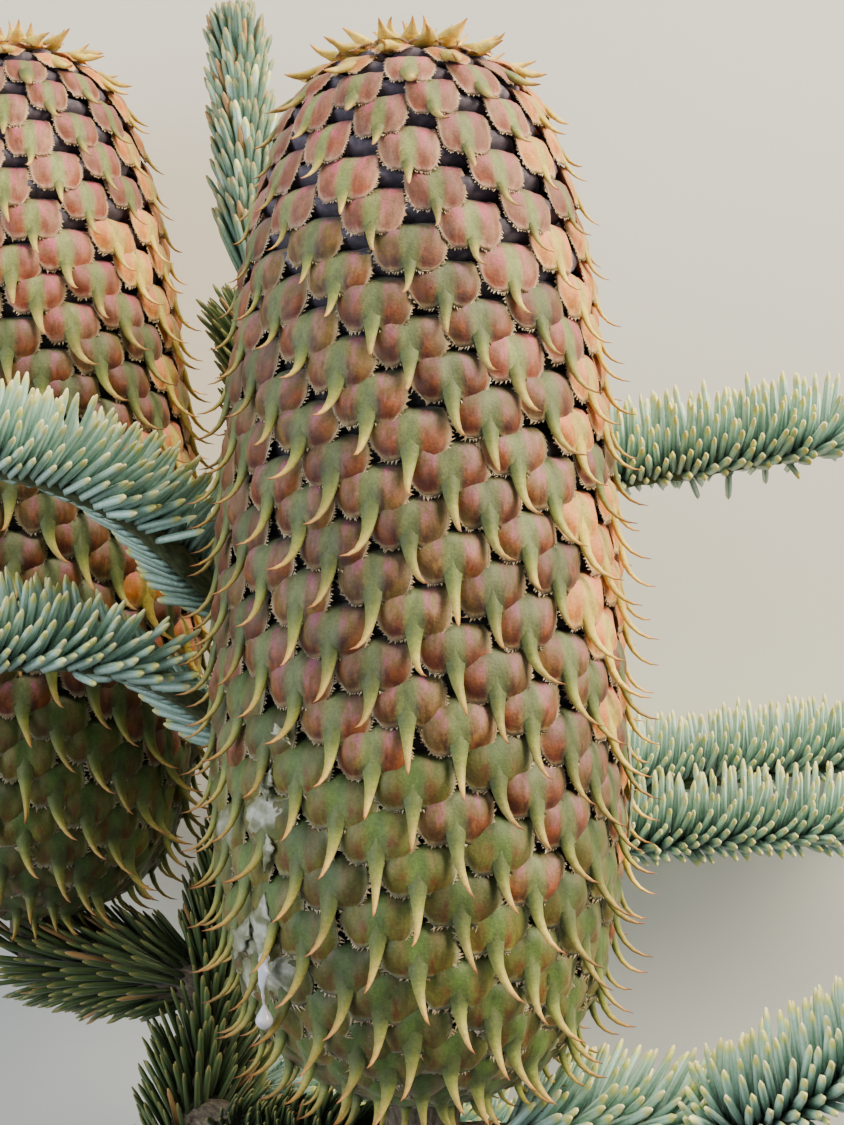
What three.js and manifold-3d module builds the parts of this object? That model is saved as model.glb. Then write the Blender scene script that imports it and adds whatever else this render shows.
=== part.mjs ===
import * as THREE from 'three';
import { mergeVertices } from 'three/addons/utils/BufferGeometryUtils.js';
import Module from 'manifold-3d';

// A branch cut from a noble fir, with its two tall cones and its needle shoots, laid on its back.
// Sizes are in millimetres and angles in degrees. The branch grew towards +Y, and +Z now points up.

// Cones: one outline, as fractions of length and of half width, from the neck to the crown
const CONE_LENGTH = 175;
const CONE_WIDTH = 69;
const CONE_OUTLINE = [
  [0, 0.24], [0.03, 0.58], [0.08, 0.81], [0.17, 0.95], [0.3, 1], [0.48, 0.98],
  [0.66, 0.91], [0.8, 0.8], [0.9, 0.66], [0.96, 0.53], [1, 0.36],
];
const LEFT_CONE_SCALE = 1.03;

// Bracts: each is one step of a spiral that also runs in slanting rows to the left and to the right
const BRACT_COUNT = 384;
const BRACT_TURN = 137.64;
const BRACT_ROWS_RIGHT = 21;
const BRACT_ROWS_LEFT = 13;
const BRACT_STEP = 1.5;
const BRACT_FILL = 0.82;
const SPINE_LENGTH = 13.5;
const SPINE_WIDTH = 2.8;
const SPINE_FLARE = 18;
const CROWN_FLARE = 52;

// Needle shoots
const NEEDLE_LENGTH = 15;
const NEEDLE_SPACING = 0.82;
const NEEDLE_TURN = 137.5;
const NEEDLE_ROWS_LEFT = 5;
const TWIG_RADIUS = 3.6;
const TWIG_TIP_RADIUS = 2.6;
const BARE_UNDERSIDE = 148;
const SWEEP_UP = 0.56;

// Room that needles leave round the other limbs and twigs, and round the spines of the cones
const SHOOT_ROOM = 4;
const SLEEVE_ROOM = 4;
const CONE_ROOM = 2.2;

// Wood, and the older needles on it, which lie closer to it
const LIMB_SIDES = 10;
const LIMB_STEP = 12;
const SLEEVE_THICKNESS = 1.5;
const SLEEVE_SPACING = 0.8;
const SLEEVE_LEAN = 30;
const OLD_NEEDLE_LENGTH = 13;

// Pieces that touch on the branch stay this far apart
const GAP = 0.3;

// How the cut branch lies: its small turns about X and Y as it settles on the left cone's belly and the
// needles of the right middle shoot, and the move that centres it over the origin
const REST_PITCH = -3.057;
const REST_ROLL = -0.665;
const REST_PLACE = [-4.89, 16.9, 108.78];

const UP_THE_BRANCH = new THREE.Vector3(0, 1, 0);
const OFF_THE_TABLE = new THREE.Vector3(0, 0, 1);

// Cones: where the neck sits, how far the cone leans to the left, and how far it is turned on its stalk
const CONES = {
  main_cone: { seat: [0, -87, 0], lean: 0.4, turn: 0, scale: 1 },
  left_cone: { seat: [-79.5, -71.3, -68], lean: 1.6, turn: 74, scale: LEFT_CONE_SCALE },
};

// Woody limbs: the line each follows, with its radius at the root and at the tip
const LIMBS = {
  stem: {
    path: [
      [-47, -140, -57], [-42, -92, -62], [-33, -55, -66],
      [-28, -20, -67], [-28, 20, -66], [-33, 52, -61],
    ],
    radii: [6.2, 4],
  },
  main_cone_bough: {
    path: [[-45, -112, -59], [-30, -110, -36], [-12, -102, -10], [2, -98, -1], [12, -96.5, 1]],
    radii: [4.6, 3.8],
    leaves: 'stem',
  },
  main_cone_stalk: {
    path: [[0, -98, -1.5], [0, -92.5, -0.5], [0, -87.3, 0]],
    radii: [4, 7.5],
    leaves: 'main_cone_bough',
  },
  left_cone_bough: {
    path: [[-41, -87, -62], [-54, -84, -63], [-68, -83, -66], [-78, -79.5, -68], [-79.5, -71.7, -68]],
    radii: [4.6, 6],
    leaves: 'stem',
  },
};

// Needle shoots: the line of the twig, the way its needles turn, how far they stand off it, and
// how much of the twig is bare at its root
const SHOOTS = {
  leader_shoot: {
    path: [[-33.2, 52.4, -61], [-35, 75, -60], [-37, 104, -60]],
    lean: 21, allRound: true, bare: 0,
  },
  left_upper_shoot: {
    path: [
      [-28, -14, -67], [-35, -9, -44], [-41, -2, -25], [-51, 8, -12],
      [-63, 14, -4], [-84, 19, 0], [-105, 21, 2],
    ],
    lean: 64, bare: 18,
  },
  left_lower_shoot: {
    path: [
      [-30, -41, -66], [-35, -34, -46], [-41, -26, -28],
      [-50, -19.5, -17], [-63, -17, -13], [-105, -20, -12],
    ],
    lean: 62, bare: 18,
  },
  right_upper_shoot: {
    path: [[-28, 8, -66], [-5, 13, -58], [42, 17, -48], [88, 24, -45]],
    lean: 64, bare: 8,
  },
  right_middle_shoot: {
    path: [[-31, -46, -66], [-8, -50, -84], [45, -50, -95.5], [92, -45, -95.5], [120, -44, -94.5]],
    lean: 64, bare: 8,
  },
  right_lower_shoot: {
    path: [[-35, -68, -65], [-10, -67, -72], [45, -60, -76], [92, -57.5, -76], [122, -58, -75]],
    lean: 64, bare: 8,
  },
  low_back_shoot: {
    path: [[-43, -104, -61], [-26, -116, -76], [2, -126, -88], [30, -133, -92]],
    lean: 60, bare: 10,
  },
  front_shoot: {
    path: [
      [12.3, -96.5, 1], [30, -94.5, 1.5], [45, -94, 5], [52, -90, 12],
      [66, -80.5, 18], [84, -65, 22], [98, -50, 24],
    ],
    lean: 66, bare: 0,
  },
};

// Older needles that clothe the wood between two shares of a limb's length
const SLEEVES = {
  stem_needles: { limb: 'stem', from: 0.05, to: 0.985 },
  main_bough_needles: { limb: 'main_cone_bough', from: 0.15, to: 0.72 },
  left_bough_needles: { limb: 'left_cone_bough', from: 0.22, to: 0.68 },
};

const COLOURS = {
  main_cone: 0x9a8a52,
  left_cone: 0x96744a,
  bark: 0x5f5548,
  needles: 0x7d9c8e,
  old_needles: 0x3f5a3c,
};

const radians = THREE.MathUtils.degToRad;
const smooth = THREE.MathUtils.smoothstep;

const wasm = await Module();
wasm.setup();

// The same draws every time, one after the other
function seededDraws(seed) {
  let state = seed;
  return () => {
    state = (state * 1664525 + 1013904223) % 4294967296;
    return state / 4294967296;
  };
}

// A closed surface that is put together point by point and face by face
class Skin {
  constructor() {
    this.positions = [];
    this.corners = [];
  }

  point(place) {
    this.positions.push(place.x, place.y, place.z);
    return this.positions.length / 3 - 1;
  }

  face(...corners) {
    const [a, b, c] = corners;
    if (a !== b && b !== c && c !== a) this.corners.push(a, b, c);
  }

  geometry() {
    const made = new THREE.BufferGeometry();
    made.setAttribute('position', new THREE.Float32BufferAttribute(this.positions, 3));
    made.setIndex(this.corners);
    return made;
  }
}

// Closes the lower end of a spiral surface with faces that meet at its centre
function closeRoot(skin, low, rowsRight, rowsLeft, centre) {
  for (let i = 0; i < rowsLeft; i += 1) skin.face(low(i + rowsRight), low(i), centre);
  for (let i = 0; i < rowsRight; i += 1) skin.face(low(i), low(i + rowsLeft), centre);
}

function coneOutline(scale) {
  const corners = CONE_OUTLINE.map(([up, out]) => (
    new THREE.Vector2(out * scale * (CONE_WIDTH / 2 - BRACT_STEP), up * scale * CONE_LENGTH)
  ));
  return new THREE.SplineCurve(corners);
}

// How far a bract's spine stands off the straight line down the cone, at a share of the cone's height
function spineFlare(share, run) {
  const narrowing = Math.max(0, Math.atan2(-run.x, run.y));
  return narrowing + radians(SPINE_FLARE + CROWN_FLARE * smooth(share, 0.86, 1));
}

function spineLength(share, scale) {
  const lower = 0.3 + 0.7 * smooth(share, 0, 0.12);
  const upper = 1 - 0.62 * smooth(share, 0.62, 1);
  return SPINE_LENGTH * scale * lower * upper;
}

// A cone: every bract is a scale whose two shoulders and spine stand proud of the bracts below it
function coneGeometry(scale) {
  const outline = coneOutline(scale);
  const skin = new Skin();
  const rowsBoth = BRACT_ROWS_LEFT + BRACT_ROWS_RIGHT;
  const shoulderAngle = (BRACT_FILL * 2 * Math.PI) / rowsBoth;
  const at = (share, angle, out) => {
    const spot = outline.getPointAt(share);
    const run = outline.getTangentAt(share);
    const radius = spot.x + run.y * out;
    return new THREE.Vector3(radius * Math.sin(angle), spot.y - run.x * out, radius * Math.cos(angle));
  };
  const shareOf = (i) => i / BRACT_COUNT;
  const angleOf = (i) => i * radians(BRACT_TURN);
  const crown = skin.point(new THREE.Vector3(0, CONE_LENGTH * scale + BRACT_STEP, 0));
  const neck = skin.point(new THREE.Vector3(0, 0, 0));
  const lows = [];
  for (let i = 0; i < BRACT_COUNT; i += 1) {
    lows.push(skin.point(at(shareOf(i), angleOf(i), -BRACT_STEP)));
  }
  const low = (i) => (i < BRACT_COUNT ? lows[i] : crown);

  for (let i = 0; i < BRACT_COUNT - BRACT_ROWS_LEFT; i += 1) {
    const share = shareOf(i);
    const angle = angleOf(i);
    const spot = outline.getPointAt(share);
    const run = outline.getTangentAt(share);
    const spineAngle = SPINE_WIDTH * scale / 2 / spot.x;
    const middle = at(share, angle, BRACT_STEP);
    const flare = spineFlare(share, run);
    const reach = spineLength(share, scale);
    const outward = new THREE.Vector3(Math.sin(angle), 0, Math.cos(angle));
    const tipPlace = middle.clone().addScaledVector(outward, reach * Math.sin(flare));
    tipPlace.addScaledVector(UP_THE_BRANCH, -reach * Math.cos(flare));

    const tip = skin.point(tipPlace);
    const spineRight = skin.point(at(share, angle + spineAngle, BRACT_STEP));
    const spineLeft = skin.point(at(share, angle - spineAngle, BRACT_STEP));
    const shoulderRight = skin.point(at(share, angle + shoulderAngle, BRACT_STEP));
    const shoulderLeft = skin.point(at(share, angle - shoulderAngle, BRACT_STEP));
    const right = low(i + BRACT_ROWS_RIGHT);
    const left = low(i + BRACT_ROWS_LEFT);
    const top = low(i + rowsBoth);

    skin.face(spineLeft, spineRight, top);
    skin.face(spineRight, shoulderRight, right);
    skin.face(spineRight, right, top);
    skin.face(spineLeft, left, shoulderLeft);
    skin.face(spineLeft, top, left);
    skin.face(shoulderRight, spineRight, low(i));
    skin.face(shoulderRight, low(i), right);
    skin.face(shoulderLeft, low(i), spineLeft);
    skin.face(shoulderLeft, left, low(i));
    skin.face(spineLeft, tip, spineRight);
    skin.face(spineRight, tip, low(i));
    skin.face(spineLeft, low(i), tip);
  }
  closeRoot(skin, low, BRACT_ROWS_RIGHT, BRACT_ROWS_LEFT, neck);
  return skin.geometry();
}

function curveThrough(path) {
  return new THREE.CatmullRomCurve3(path.map((place) => new THREE.Vector3(...place)));
}

// The two directions square to a line, at a share of its length: the way needles turn, and the side
function sidesOf(line, share, turnTo) {
  const along = line.getTangentAt(share).normalize();
  const first = turnTo.clone().addScaledVector(along, -turnTo.dot(along)).normalize();
  const second = along.clone().cross(first);
  return { along, first, second };
}

function ringPlace(line, share, angle, radius, turnTo) {
  const { first, second } = sidesOf(line, share, turnTo);
  const place = line.getPointAt(share);
  place.addScaledVector(first, radius * Math.cos(angle));
  return place.addScaledVector(second, radius * Math.sin(angle));
}

// A tapering limb along a line, with a flat face at each end
function limbGeometry(line, radii, extra = 0) {
  const skin = new Skin();
  const rings = Math.max(2, Math.round(line.getLength() / LIMB_STEP));
  const corner = (ring, side) => 2 + ring * LIMB_SIDES + (side % LIMB_SIDES);
  const foot = skin.point(line.getPointAt(0));
  const head = skin.point(line.getPointAt(1));
  for (let ring = 0; ring <= rings; ring += 1) {
    const share = ring / rings;
    const radius = radii[0] + (radii[1] - radii[0]) * share + extra;
    for (let side = 0; side < LIMB_SIDES; side += 1) {
      skin.point(ringPlace(line, share, (2 * Math.PI * side) / LIMB_SIDES, radius, OFF_THE_TABLE));
    }
  }
  for (let side = 0; side < LIMB_SIDES; side += 1) {
    for (let ring = 0; ring < rings; ring += 1) {
      skin.face(corner(ring, side), corner(ring, side + 1), corner(ring + 1, side));
      skin.face(corner(ring, side + 1), corner(ring + 1, side + 1), corner(ring + 1, side));
    }
    skin.face(foot, corner(0, side + 1), corner(0, side));
    skin.face(head, corner(rings, side), corner(rings, side + 1));
  }
  return skin.geometry();
}

function toSolid(geometry) {
  const merged = mergeVertices(geometry, 1e-3);
  const vertProperties = merged.attributes.position.array;
  const triVerts = new Uint32Array(merged.index.array);
  return new wasm.Manifold(new wasm.Mesh({ numProp: 3, vertProperties, triVerts }));
}

function fromSolid(solid) {
  const { numProp, vertProperties, triVerts } = solid.getMesh();
  const made = new THREE.BufferGeometry();
  const positions = [];
  for (let i = 0; i < vertProperties.length; i += numProp) {
    positions.push(...vertProperties.subarray(i, i + 3));
  }
  made.setAttribute('position', new THREE.Float32BufferAttribute(positions, 3));
  made.setIndex(new THREE.BufferAttribute(triVerts, 1));
  return made;
}

// Cuts a piece clear of limbs and twigs that run through it, and keeps its largest body
function cutClear(geometry, tubes) {
  let solid = toSolid(geometry);
  tubes.forEach(({ line, radii }) => {
    solid = solid.subtract(toSolid(limbGeometry(line, radii, GAP)));
  });
  const bodies = solid.decompose().sort((a, b) => b.volume() - a.volume());
  return fromSolid(bodies[0]);
}

function distanceToLine(place, samples) {
  return Math.min(...samples.map((sample) => sample.distanceTo(place)));
}

const coneSpaces = Object.values(CONES).map(({ seat, lean, scale }) => {
  const toCone = new THREE.Matrix4().makeRotationZ(radians(lean));
  toCone.setPosition(...seat).invert();
  return { toCone, scale };
});

const limbTubes = Object.fromEntries(Object.entries(LIMBS).map(([name, { path, radii }]) => {
  const line = curveThrough(path);
  return [name, { name, line, radii, samples: line.getSpacedPoints(40) }];
}));

const twigTubes = Object.fromEntries(Object.entries(SHOOTS).map(([name, { path }]) => {
  const line = curveThrough(path);
  const radii = [TWIG_RADIUS + GAP, TWIG_TIP_RADIUS + GAP];
  return [name, { name, line, radii, samples: line.getSpacedPoints(40) }];
}));

// The outline's half width at a share of the cone's height
function coneHalfWidth(share) {
  const next = CONE_OUTLINE.findIndex(([up]) => up >= share);
  if (next < 1) return CONE_OUTLINE[0][1];
  const [[upA, outA], [upB, outB]] = [CONE_OUTLINE[next - 1], CONE_OUTLINE[next]];
  return outA + ((outB - outA) * (share - upA)) / (upB - upA);
}

function inCone(place, margin) {
  return coneSpaces.some(({ toCone, scale }) => {
    const local = place.clone().applyMatrix4(toCone).divideScalar(scale);
    const share = local.y / CONE_LENGTH;
    if (share < -0.07 || share > 1.05) return false;
    const halfWidth = coneHalfWidth(THREE.MathUtils.clamp(share, 0.12, 1)) * (CONE_WIDTH / 2);
    return Math.hypot(local.x, local.z) < halfWidth + margin;
  });
}

// Whether a place is free of the cones, and nearer to its own limb or twig than to any other
function isFree(place, own, room) {
  if (inCone(place, SPINE_LENGTH * Math.sin(radians(SPINE_FLARE)) + BRACT_STEP + CONE_ROOM)) return false;
  const tubes = [...Object.values(limbTubes), ...Object.values(twigTubes)];
  const ownDistance = distanceToLine(place, tubes.find(({ name }) => name === own).samples);
  return tubes.every(({ name, radii, samples }) => (
    name === own || distanceToLine(place, samples) > Math.max(ownDistance, Math.max(...radii) + room)
  ));
}

// A needle shoot: a slim twig whose skin rises into needles
function shootGeometry(name, seed) {
  const { lean, bare, allRound } = SHOOTS[name];
  return needleSkin({
    line: twigTubes[name].line,
    radiusAt: (share) => TWIG_RADIUS + (TWIG_TIP_RADIUS - TWIG_RADIUS) * share,
    turnTo: allRound ? OFF_THE_TABLE : UP_THE_BRANCH,
    needle: NEEDLE_LENGTH,
    spacing: NEEDLE_SPACING,
    rowsRight: 3,
    room: SHOOT_ROOM,
    own: name,
    lean,
    bare,
    allRound,
    seed,
  });
}

// A sleeve of older needles round a limb, with the limb's own room cut out of it
function sleeveGeometry({ limb, from, to }, seed) {
  const { line, radii } = limbTubes[limb];
  const places = [0, 0.25, 0.5, 0.75, 1].map((part) => line.getPointAt(from + (to - from) * part));
  const sleeve = needleSkin({
    line: new THREE.CatmullRomCurve3(places),
    radiusAt: (share) => radii[0] + (radii[1] - radii[0]) * (from + (to - from) * share) + SLEEVE_THICKNESS,
    turnTo: limb === 'stem' ? OFF_THE_TABLE : UP_THE_BRANCH,
    needle: OLD_NEEDLE_LENGTH,
    spacing: SLEEVE_SPACING,
    rowsRight: 8,
    room: SLEEVE_ROOM,
    own: limb,
    lean: SLEEVE_LEAN,
    bare: 0,
    allRound: true,
    seed,
  });
  return cutClear(sleeve, [...Object.values(limbTubes), ...Object.values(twigTubes)]);
}

// A skin that rises into one needle at each step of a spiral, with slanting rows to both sides
function needleSkin(plan) {
  const { line, radiusAt, turnTo, spacing, rowsRight, own, bare, room, allRound } = plan;
  const rowsLeft = NEEDLE_ROWS_LEFT;
  const rowsBoth = rowsRight + rowsLeft;
  const skin = new Skin();
  const draw = seededDraws(plan.seed);
  const length = line.getLength();
  const count = Math.round(length / spacing);
  const angleOf = (i) => i * radians(NEEDLE_TURN);
  const end = skin.point(line.getPointAt(1).addScaledVector(line.getTangentAt(1), 2));
  const root = skin.point(line.getPointAt(0));
  const lows = [];
  for (let i = 0; i < count; i += 1) {
    lows.push(skin.point(ringPlace(line, i / count, angleOf(i), radiusAt(i / count), turnTo)));
  }
  const low = (i) => (i < count ? lows[i] : end);

  // Where the needle over step i ends, or null where it would leave the shoot's own space
  const needleTip = (i) => {
    const wobble = draw() - 0.5;
    const share = (i + rowsBoth / 3) / count;
    const angle = nearestTurn(angleOf(i) + nearestTurn(radians(NEEDLE_TURN * rowsBoth)) / 3);
    const under = !allRound && Math.abs(angle) > radians(BARE_UNDERSIDE);
    if (share >= 1 || share * length < bare || under) return null;
    const aim = angle * (allRound ? 1 : SWEEP_UP);
    const off = radians(plan.lean * (1 - 0.5 * smooth(share, 0.86, 1)) + 8 * wobble);
    const reach = plan.needle * (1 - 0.25 * smooth(share, 0.8, 1)) * (1 + 0.16 * wobble);
    const { along, first, second } = sidesOf(line, share, turnTo);
    const way = along.multiplyScalar(Math.cos(off));
    way.addScaledVector(first, Math.sin(off) * Math.cos(aim));
    way.addScaledVector(second, Math.sin(off) * Math.sin(aim));
    const start = ringPlace(line, share, angle, radiusAt(share), turnTo);
    const places = [0.4, 0.7, 1].map((part) => start.clone().addScaledVector(way, reach * part));
    return places.every((place) => isFree(place, own, room)) ? places[2] : null;
  };

  for (let i = 0; i < count; i += 1) {
    const right = low(i + rowsRight);
    const left = low(i + rowsLeft);
    skin.face(right, low(i + rowsBoth), left);
    const tip = right !== left ? needleTip(i) : null;
    if (tip === null) {
      skin.face(low(i), right, left);
    } else {
      const point = skin.point(tip);
      skin.face(low(i), right, point);
      skin.face(right, left, point);
      skin.face(left, low(i), point);
    }
  }
  closeRoot(skin, low, rowsRight, rowsLeft, root);
  return skin.geometry();
}

// The small turn that a sum of spiral steps comes to, between a half turn back and a half turn on
function nearestTurn(angle) {
  return THREE.MathUtils.euclideanModulo(angle + Math.PI, 2 * Math.PI) - Math.PI;
}

const branch = new THREE.Group();
branch.rotation.set(radians(REST_PITCH), radians(REST_ROLL), 0, 'YXZ');
branch.position.set(...REST_PLACE);

function addPiece(name, geometry, colour, roughness = 0.7) {
  const material = new THREE.MeshStandardMaterial({ color: colour, roughness, metalness: 0 });
  const mesh = new THREE.Mesh(geometry, material);
  mesh.name = name;
  branch.add(mesh);
  return mesh;
}

Object.entries(CONES).forEach(([name, { seat, lean, turn, scale }]) => {
  const cone = addPiece(name, coneGeometry(scale), COLOURS[name], 0.6);
  cone.position.set(...seat);
  cone.rotation.set(0, radians(turn), radians(lean), 'ZYX');
});

Object.entries(LIMBS).forEach(([name, { path, radii, leaves }]) => {
  const limb = limbGeometry(curveThrough(path), radii);
  addPiece(name, leaves ? cutClear(limb, [limbTubes[leaves]]) : limb, COLOURS.bark, 0.9);
});

Object.keys(SHOOTS).forEach((name, i) => {
  const shoot = shootGeometry(name, i + 1);
  addPiece(name, cutClear(shoot, [limbTubes.stem, limbTubes.main_cone_bough]), COLOURS.needles);
});

Object.entries(SLEEVES).forEach(([name, sleeve], i) => {
  addPiece(name, sleeveGeometry(sleeve, 100 + i), COLOURS.old_needles);
});

export default branch;
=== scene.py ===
# %% [markdown]
# A cut branch of noble fir, dressed
#
# The model is a piece cut from the top of a noble fir: an upright stem, two tall ripening cones and
# eight needle shoots. The plain solids of the frame say where everything is. Here each solid is replaced
# by what grows there: scales, bracts with their spines, needles one by one, and bark.
# Everything is worked out in the branch's own millimetres, with X to the right, Y up the branch and Z
# towards the camera, and is laid down on the table at the very end of each piece.

# %% Load the frame
import math

import bpy
import numpy as np
from mathutils import Matrix, Vector


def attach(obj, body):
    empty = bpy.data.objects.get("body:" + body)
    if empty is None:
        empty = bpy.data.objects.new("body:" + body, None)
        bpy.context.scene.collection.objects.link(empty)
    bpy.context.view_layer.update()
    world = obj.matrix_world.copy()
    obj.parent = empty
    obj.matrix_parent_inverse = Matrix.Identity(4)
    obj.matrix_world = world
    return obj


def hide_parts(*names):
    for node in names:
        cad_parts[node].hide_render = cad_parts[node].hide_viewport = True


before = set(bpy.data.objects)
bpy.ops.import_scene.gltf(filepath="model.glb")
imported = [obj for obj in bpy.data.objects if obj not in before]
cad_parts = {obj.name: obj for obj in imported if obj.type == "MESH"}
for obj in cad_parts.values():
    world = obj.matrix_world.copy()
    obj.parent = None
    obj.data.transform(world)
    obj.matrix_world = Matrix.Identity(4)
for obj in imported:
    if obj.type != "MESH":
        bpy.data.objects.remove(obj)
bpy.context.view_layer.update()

print("solids:", ", ".join(sorted(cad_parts)))

# %% [markdown]
# The branch lies on the belly of its left cone, so it is rolled and pitched a little. Every object could
# carry that turn, but one matrix over all corners keeps each mesh plain and in the solids' own frame.
# Spines and needles under the branch would reach into the table, so they are pressed flat on it.

# %% From the branch to the table
MM = 0.001
REST_PITCH = math.radians(-3.057)
REST_ROLL = math.radians(-0.665)
REST_PLACE = Vector((-4.89, 16.9, 108.78))
TABLE_TOUCH = 1.2 * MM
LAID_DOWN = (
    Matrix.Translation(REST_PLACE * MM)
    @ Matrix.Rotation(REST_ROLL, 4, "Y")
    @ Matrix.Rotation(REST_PITCH, 4, "X")
)


def laid_down(points, own=Matrix.Identity(4)):
    """Points in a piece's own millimetres, as places on the table in metres."""
    matrix = np.array(LAID_DOWN @ Matrix.Scale(MM, 4) @ own)
    flat = np.asarray(points, float).reshape(-1, 3)
    places = flat @ matrix[:3, :3].T + matrix[:3, 3]
    height = places[:, 2]
    pressed = TABLE_TOUCH * np.exp(np.minimum(height / TABLE_TOUCH - 1, 0))
    places[:, 2] = np.where(height < TABLE_TOUCH, pressed, height)
    return places


print("middle of the branch:", laid_down((0, 0, 0)).round(4)[0].tolist(), "m")


# %% [markdown]
# The photograph looks along the branch's Z at the big cone from 280 mm away. The lens could be tried by
# eye, but it follows from the cone: its half width of 34.5 mm takes 207 pixels, so one pixel is a sixth
# of a millimetre there.

# %% Camera
VIEW_DISTANCE = 280
PICTURE_HEIGHT = 1125
MM_PER_PIXEL = 1 / 6
SENSOR = 36

camera = bpy.data.objects.new("camera", bpy.data.cameras.new("camera"))
bpy.context.scene.collection.objects.link(camera)
camera.data.sensor_width = SENSOR
camera.data.lens = SENSOR * VIEW_DISTANCE / (PICTURE_HEIGHT * MM_PER_PIXEL)
camera.matrix_world = LAID_DOWN @ Matrix.Translation((0, 0, VIEW_DISTANCE * MM))
bpy.context.scene.camera = camera
print("lens", round(camera.data.lens, 1), "mm")


# %% [markdown]
# A cone carries hundreds of bracts and a shoot hundreds of needles. Each could be an object or an
# instance, but then all would be alike and the scene slow. So each kind is one mesh from arrays: a
# pattern of faces is repeated over the corners of all parts, and every part may differ. Each mesh also
# carries one vector for each corner, which says where on its part the corner is. Materials read it, so a
# spine can be green at its root and orange at its tip wherever it stands.

# %% Build one mesh from arrays
def repeated(pattern, count, stride):
    """A pattern of faces, once for each of count parts that have stride corners each."""
    starts = stride * np.arange(count)[:, None, None]
    return (np.asarray(pattern)[None] + starts).reshape(-1, np.shape(pattern)[1])


def add_mesh(name, points, faces, materials, where=None, dealt=None, smooth=True):
    """points are metres on the table, faces a list of arrays, dealt the material of each face."""
    mesh = bpy.data.meshes.new(name)
    mesh.from_pydata(points.tolist(), [], [face for group in faces for face in group.tolist()])
    for material in materials:
        mesh.materials.append(material)
    if dealt is not None:
        mesh.polygons.foreach_set("material_index", np.concatenate(dealt).astype(np.int32))
    if where is not None:
        spots = mesh.attributes.new("spot", "FLOAT_VECTOR", "POINT")
        spots.data.foreach_set("vector", np.asarray(where, np.float32).ravel())
    mesh.polygons.foreach_set("use_smooth", np.full(len(mesh.polygons), smooth))
    mesh.update()
    piece = bpy.data.objects.new(name, mesh)
    bpy.context.scene.collection.objects.link(piece)
    triangles = sum(len(polygon.vertices) - 2 for polygon in mesh.polygons)
    print(f"{name}: {triangles} triangles")
    return piece


def add_parts(name, points, patterns, materials, where=None, dealt=None, own=Matrix.Identity(4), smooth=True):
    """One mesh of many like parts: points by part and corner, dealt the material of each part."""
    count, stride = points.shape[:2]
    faces = [repeated(pattern, count, stride) for pattern in patterns]
    owners = None if dealt is None else [np.repeat(dealt, len(pattern)) for pattern in patterns]
    return add_mesh(name, laid_down(points, own), faces, materials, where, owners, smooth)


def dress(piece, slot, *nodes):
    """Puts a piece on the one body, in the place of these solids."""
    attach(piece, "root")
    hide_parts(*nodes)


print("a face on two parts of three corners:", repeated([(0, 1, 2)], 2, 3).tolist())


# %% [markdown]
# Nearly every part is a grid of corners: open like a blade, or closed like a tube with a fan over both
# ends. They could be drawn by hand in edit mode, but a short sum gives the faces of any such grid. The
# ramp is an even change between two values, the same as in the solids.

# %% Shapes from grids
UP_THE_BRANCH = np.array([0.0, 1.0, 0.0])
OFF_THE_TABLE = np.array([0.0, 0.0, 1.0])


def normalised(vectors):
    return vectors / np.linalg.norm(vectors, axis=-1)[..., None]


def ramp(value, low, high):
    share = np.clip((value - low) / (high - low), 0, 1)
    return share * share * (3 - 2 * share)


def taper(ends, share):
    return ends[0] + (ends[1] - ends[0]) * share


def round_angles(sides):
    """Angles that go once round a tube."""
    return np.arange(sides) * 2 * math.pi / sides


def grid_faces(rows, columns, closed=False):
    """The quads of a grid of corners, whose columns may join up into a tube."""
    across = columns if closed else columns - 1
    row, column = np.meshgrid(np.arange(rows - 1), np.arange(across), indexing="ij")
    following = (column + 1) % columns
    corners = [row * columns + column, row * columns + following]
    corners += [(row + 1) * columns + following, (row + 1) * columns + column]
    return np.stack(corners, -1).reshape(-1, 4)


def fan_faces(loop, centre):
    """Triangles from a loop of corners to one corner."""
    loop = np.asarray(loop)
    return np.stack([loop, np.roll(loop, -1), np.full(len(loop), centre)], -1)


def tube_faces(rings, sides):
    """The sides, the root and the tip of a tube, whose two centre corners come after its rings."""
    loop = np.arange(sides)
    centre = rings * sides
    return [
        grid_faces(rings, sides, closed=True),
        fan_faces(loop, centre)[:, ::-1],
        fan_faces(loop + centre - sides, centre + 1),
    ]


print("faces of a tube of five rings by four:", [len(part) for part in tube_faces(5, 4)])


# %% [markdown]
# Colours are written as they look on a screen, so one function turns them into the linear light that
# Blender works with. Nodes could be placed by hand in the shader editor. Here one function adds a node
# of any kind with its settings and links, so a material reads from top to bottom. A pattern's scale
# comes from the real size of its spots.

# %% Colours and nodes
def linear(colour):
    """A screen colour such as "8fae62" as linear light, opaque."""
    parts = [int(colour[i:i + 2], 16) / 255 for i in (0, 2, 4)]
    light = [c / 12.92 if c <= 0.04045 else ((c + 0.055) / 1.055) ** 2.4 for c in parts]
    return (*light, 1.0)


def add_node(tree, kind, given=(), stops=(), **settings):
    """Adds a node. Its sockets are given a value, a screen colour, or the node or socket to link to."""
    node = tree.nodes.new(kind)
    for name, value in settings.items():
        setattr(node, name, value)
    for name, value in dict(given).items():
        if isinstance(value, bpy.types.Node):
            value = next(socket for socket in value.outputs if socket.enabled)
        if isinstance(value, bpy.types.NodeSocket):
            tree.links.new(value, node.inputs[name])
        else:
            node.inputs[name].default_value = linear(value) if isinstance(value, str) else value
    if stops:
        marks = node.color_ramp.elements
        while len(marks) < len(stops):
            marks.new(0.5)
        for mark, (place, colour) in zip(marks, stops):
            mark.position = place
        for mark, (place, colour) in zip(marks, stops):
            mark.color = linear(colour) if isinstance(colour, str) else (colour, colour, colour, 1)
    return node


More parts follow.
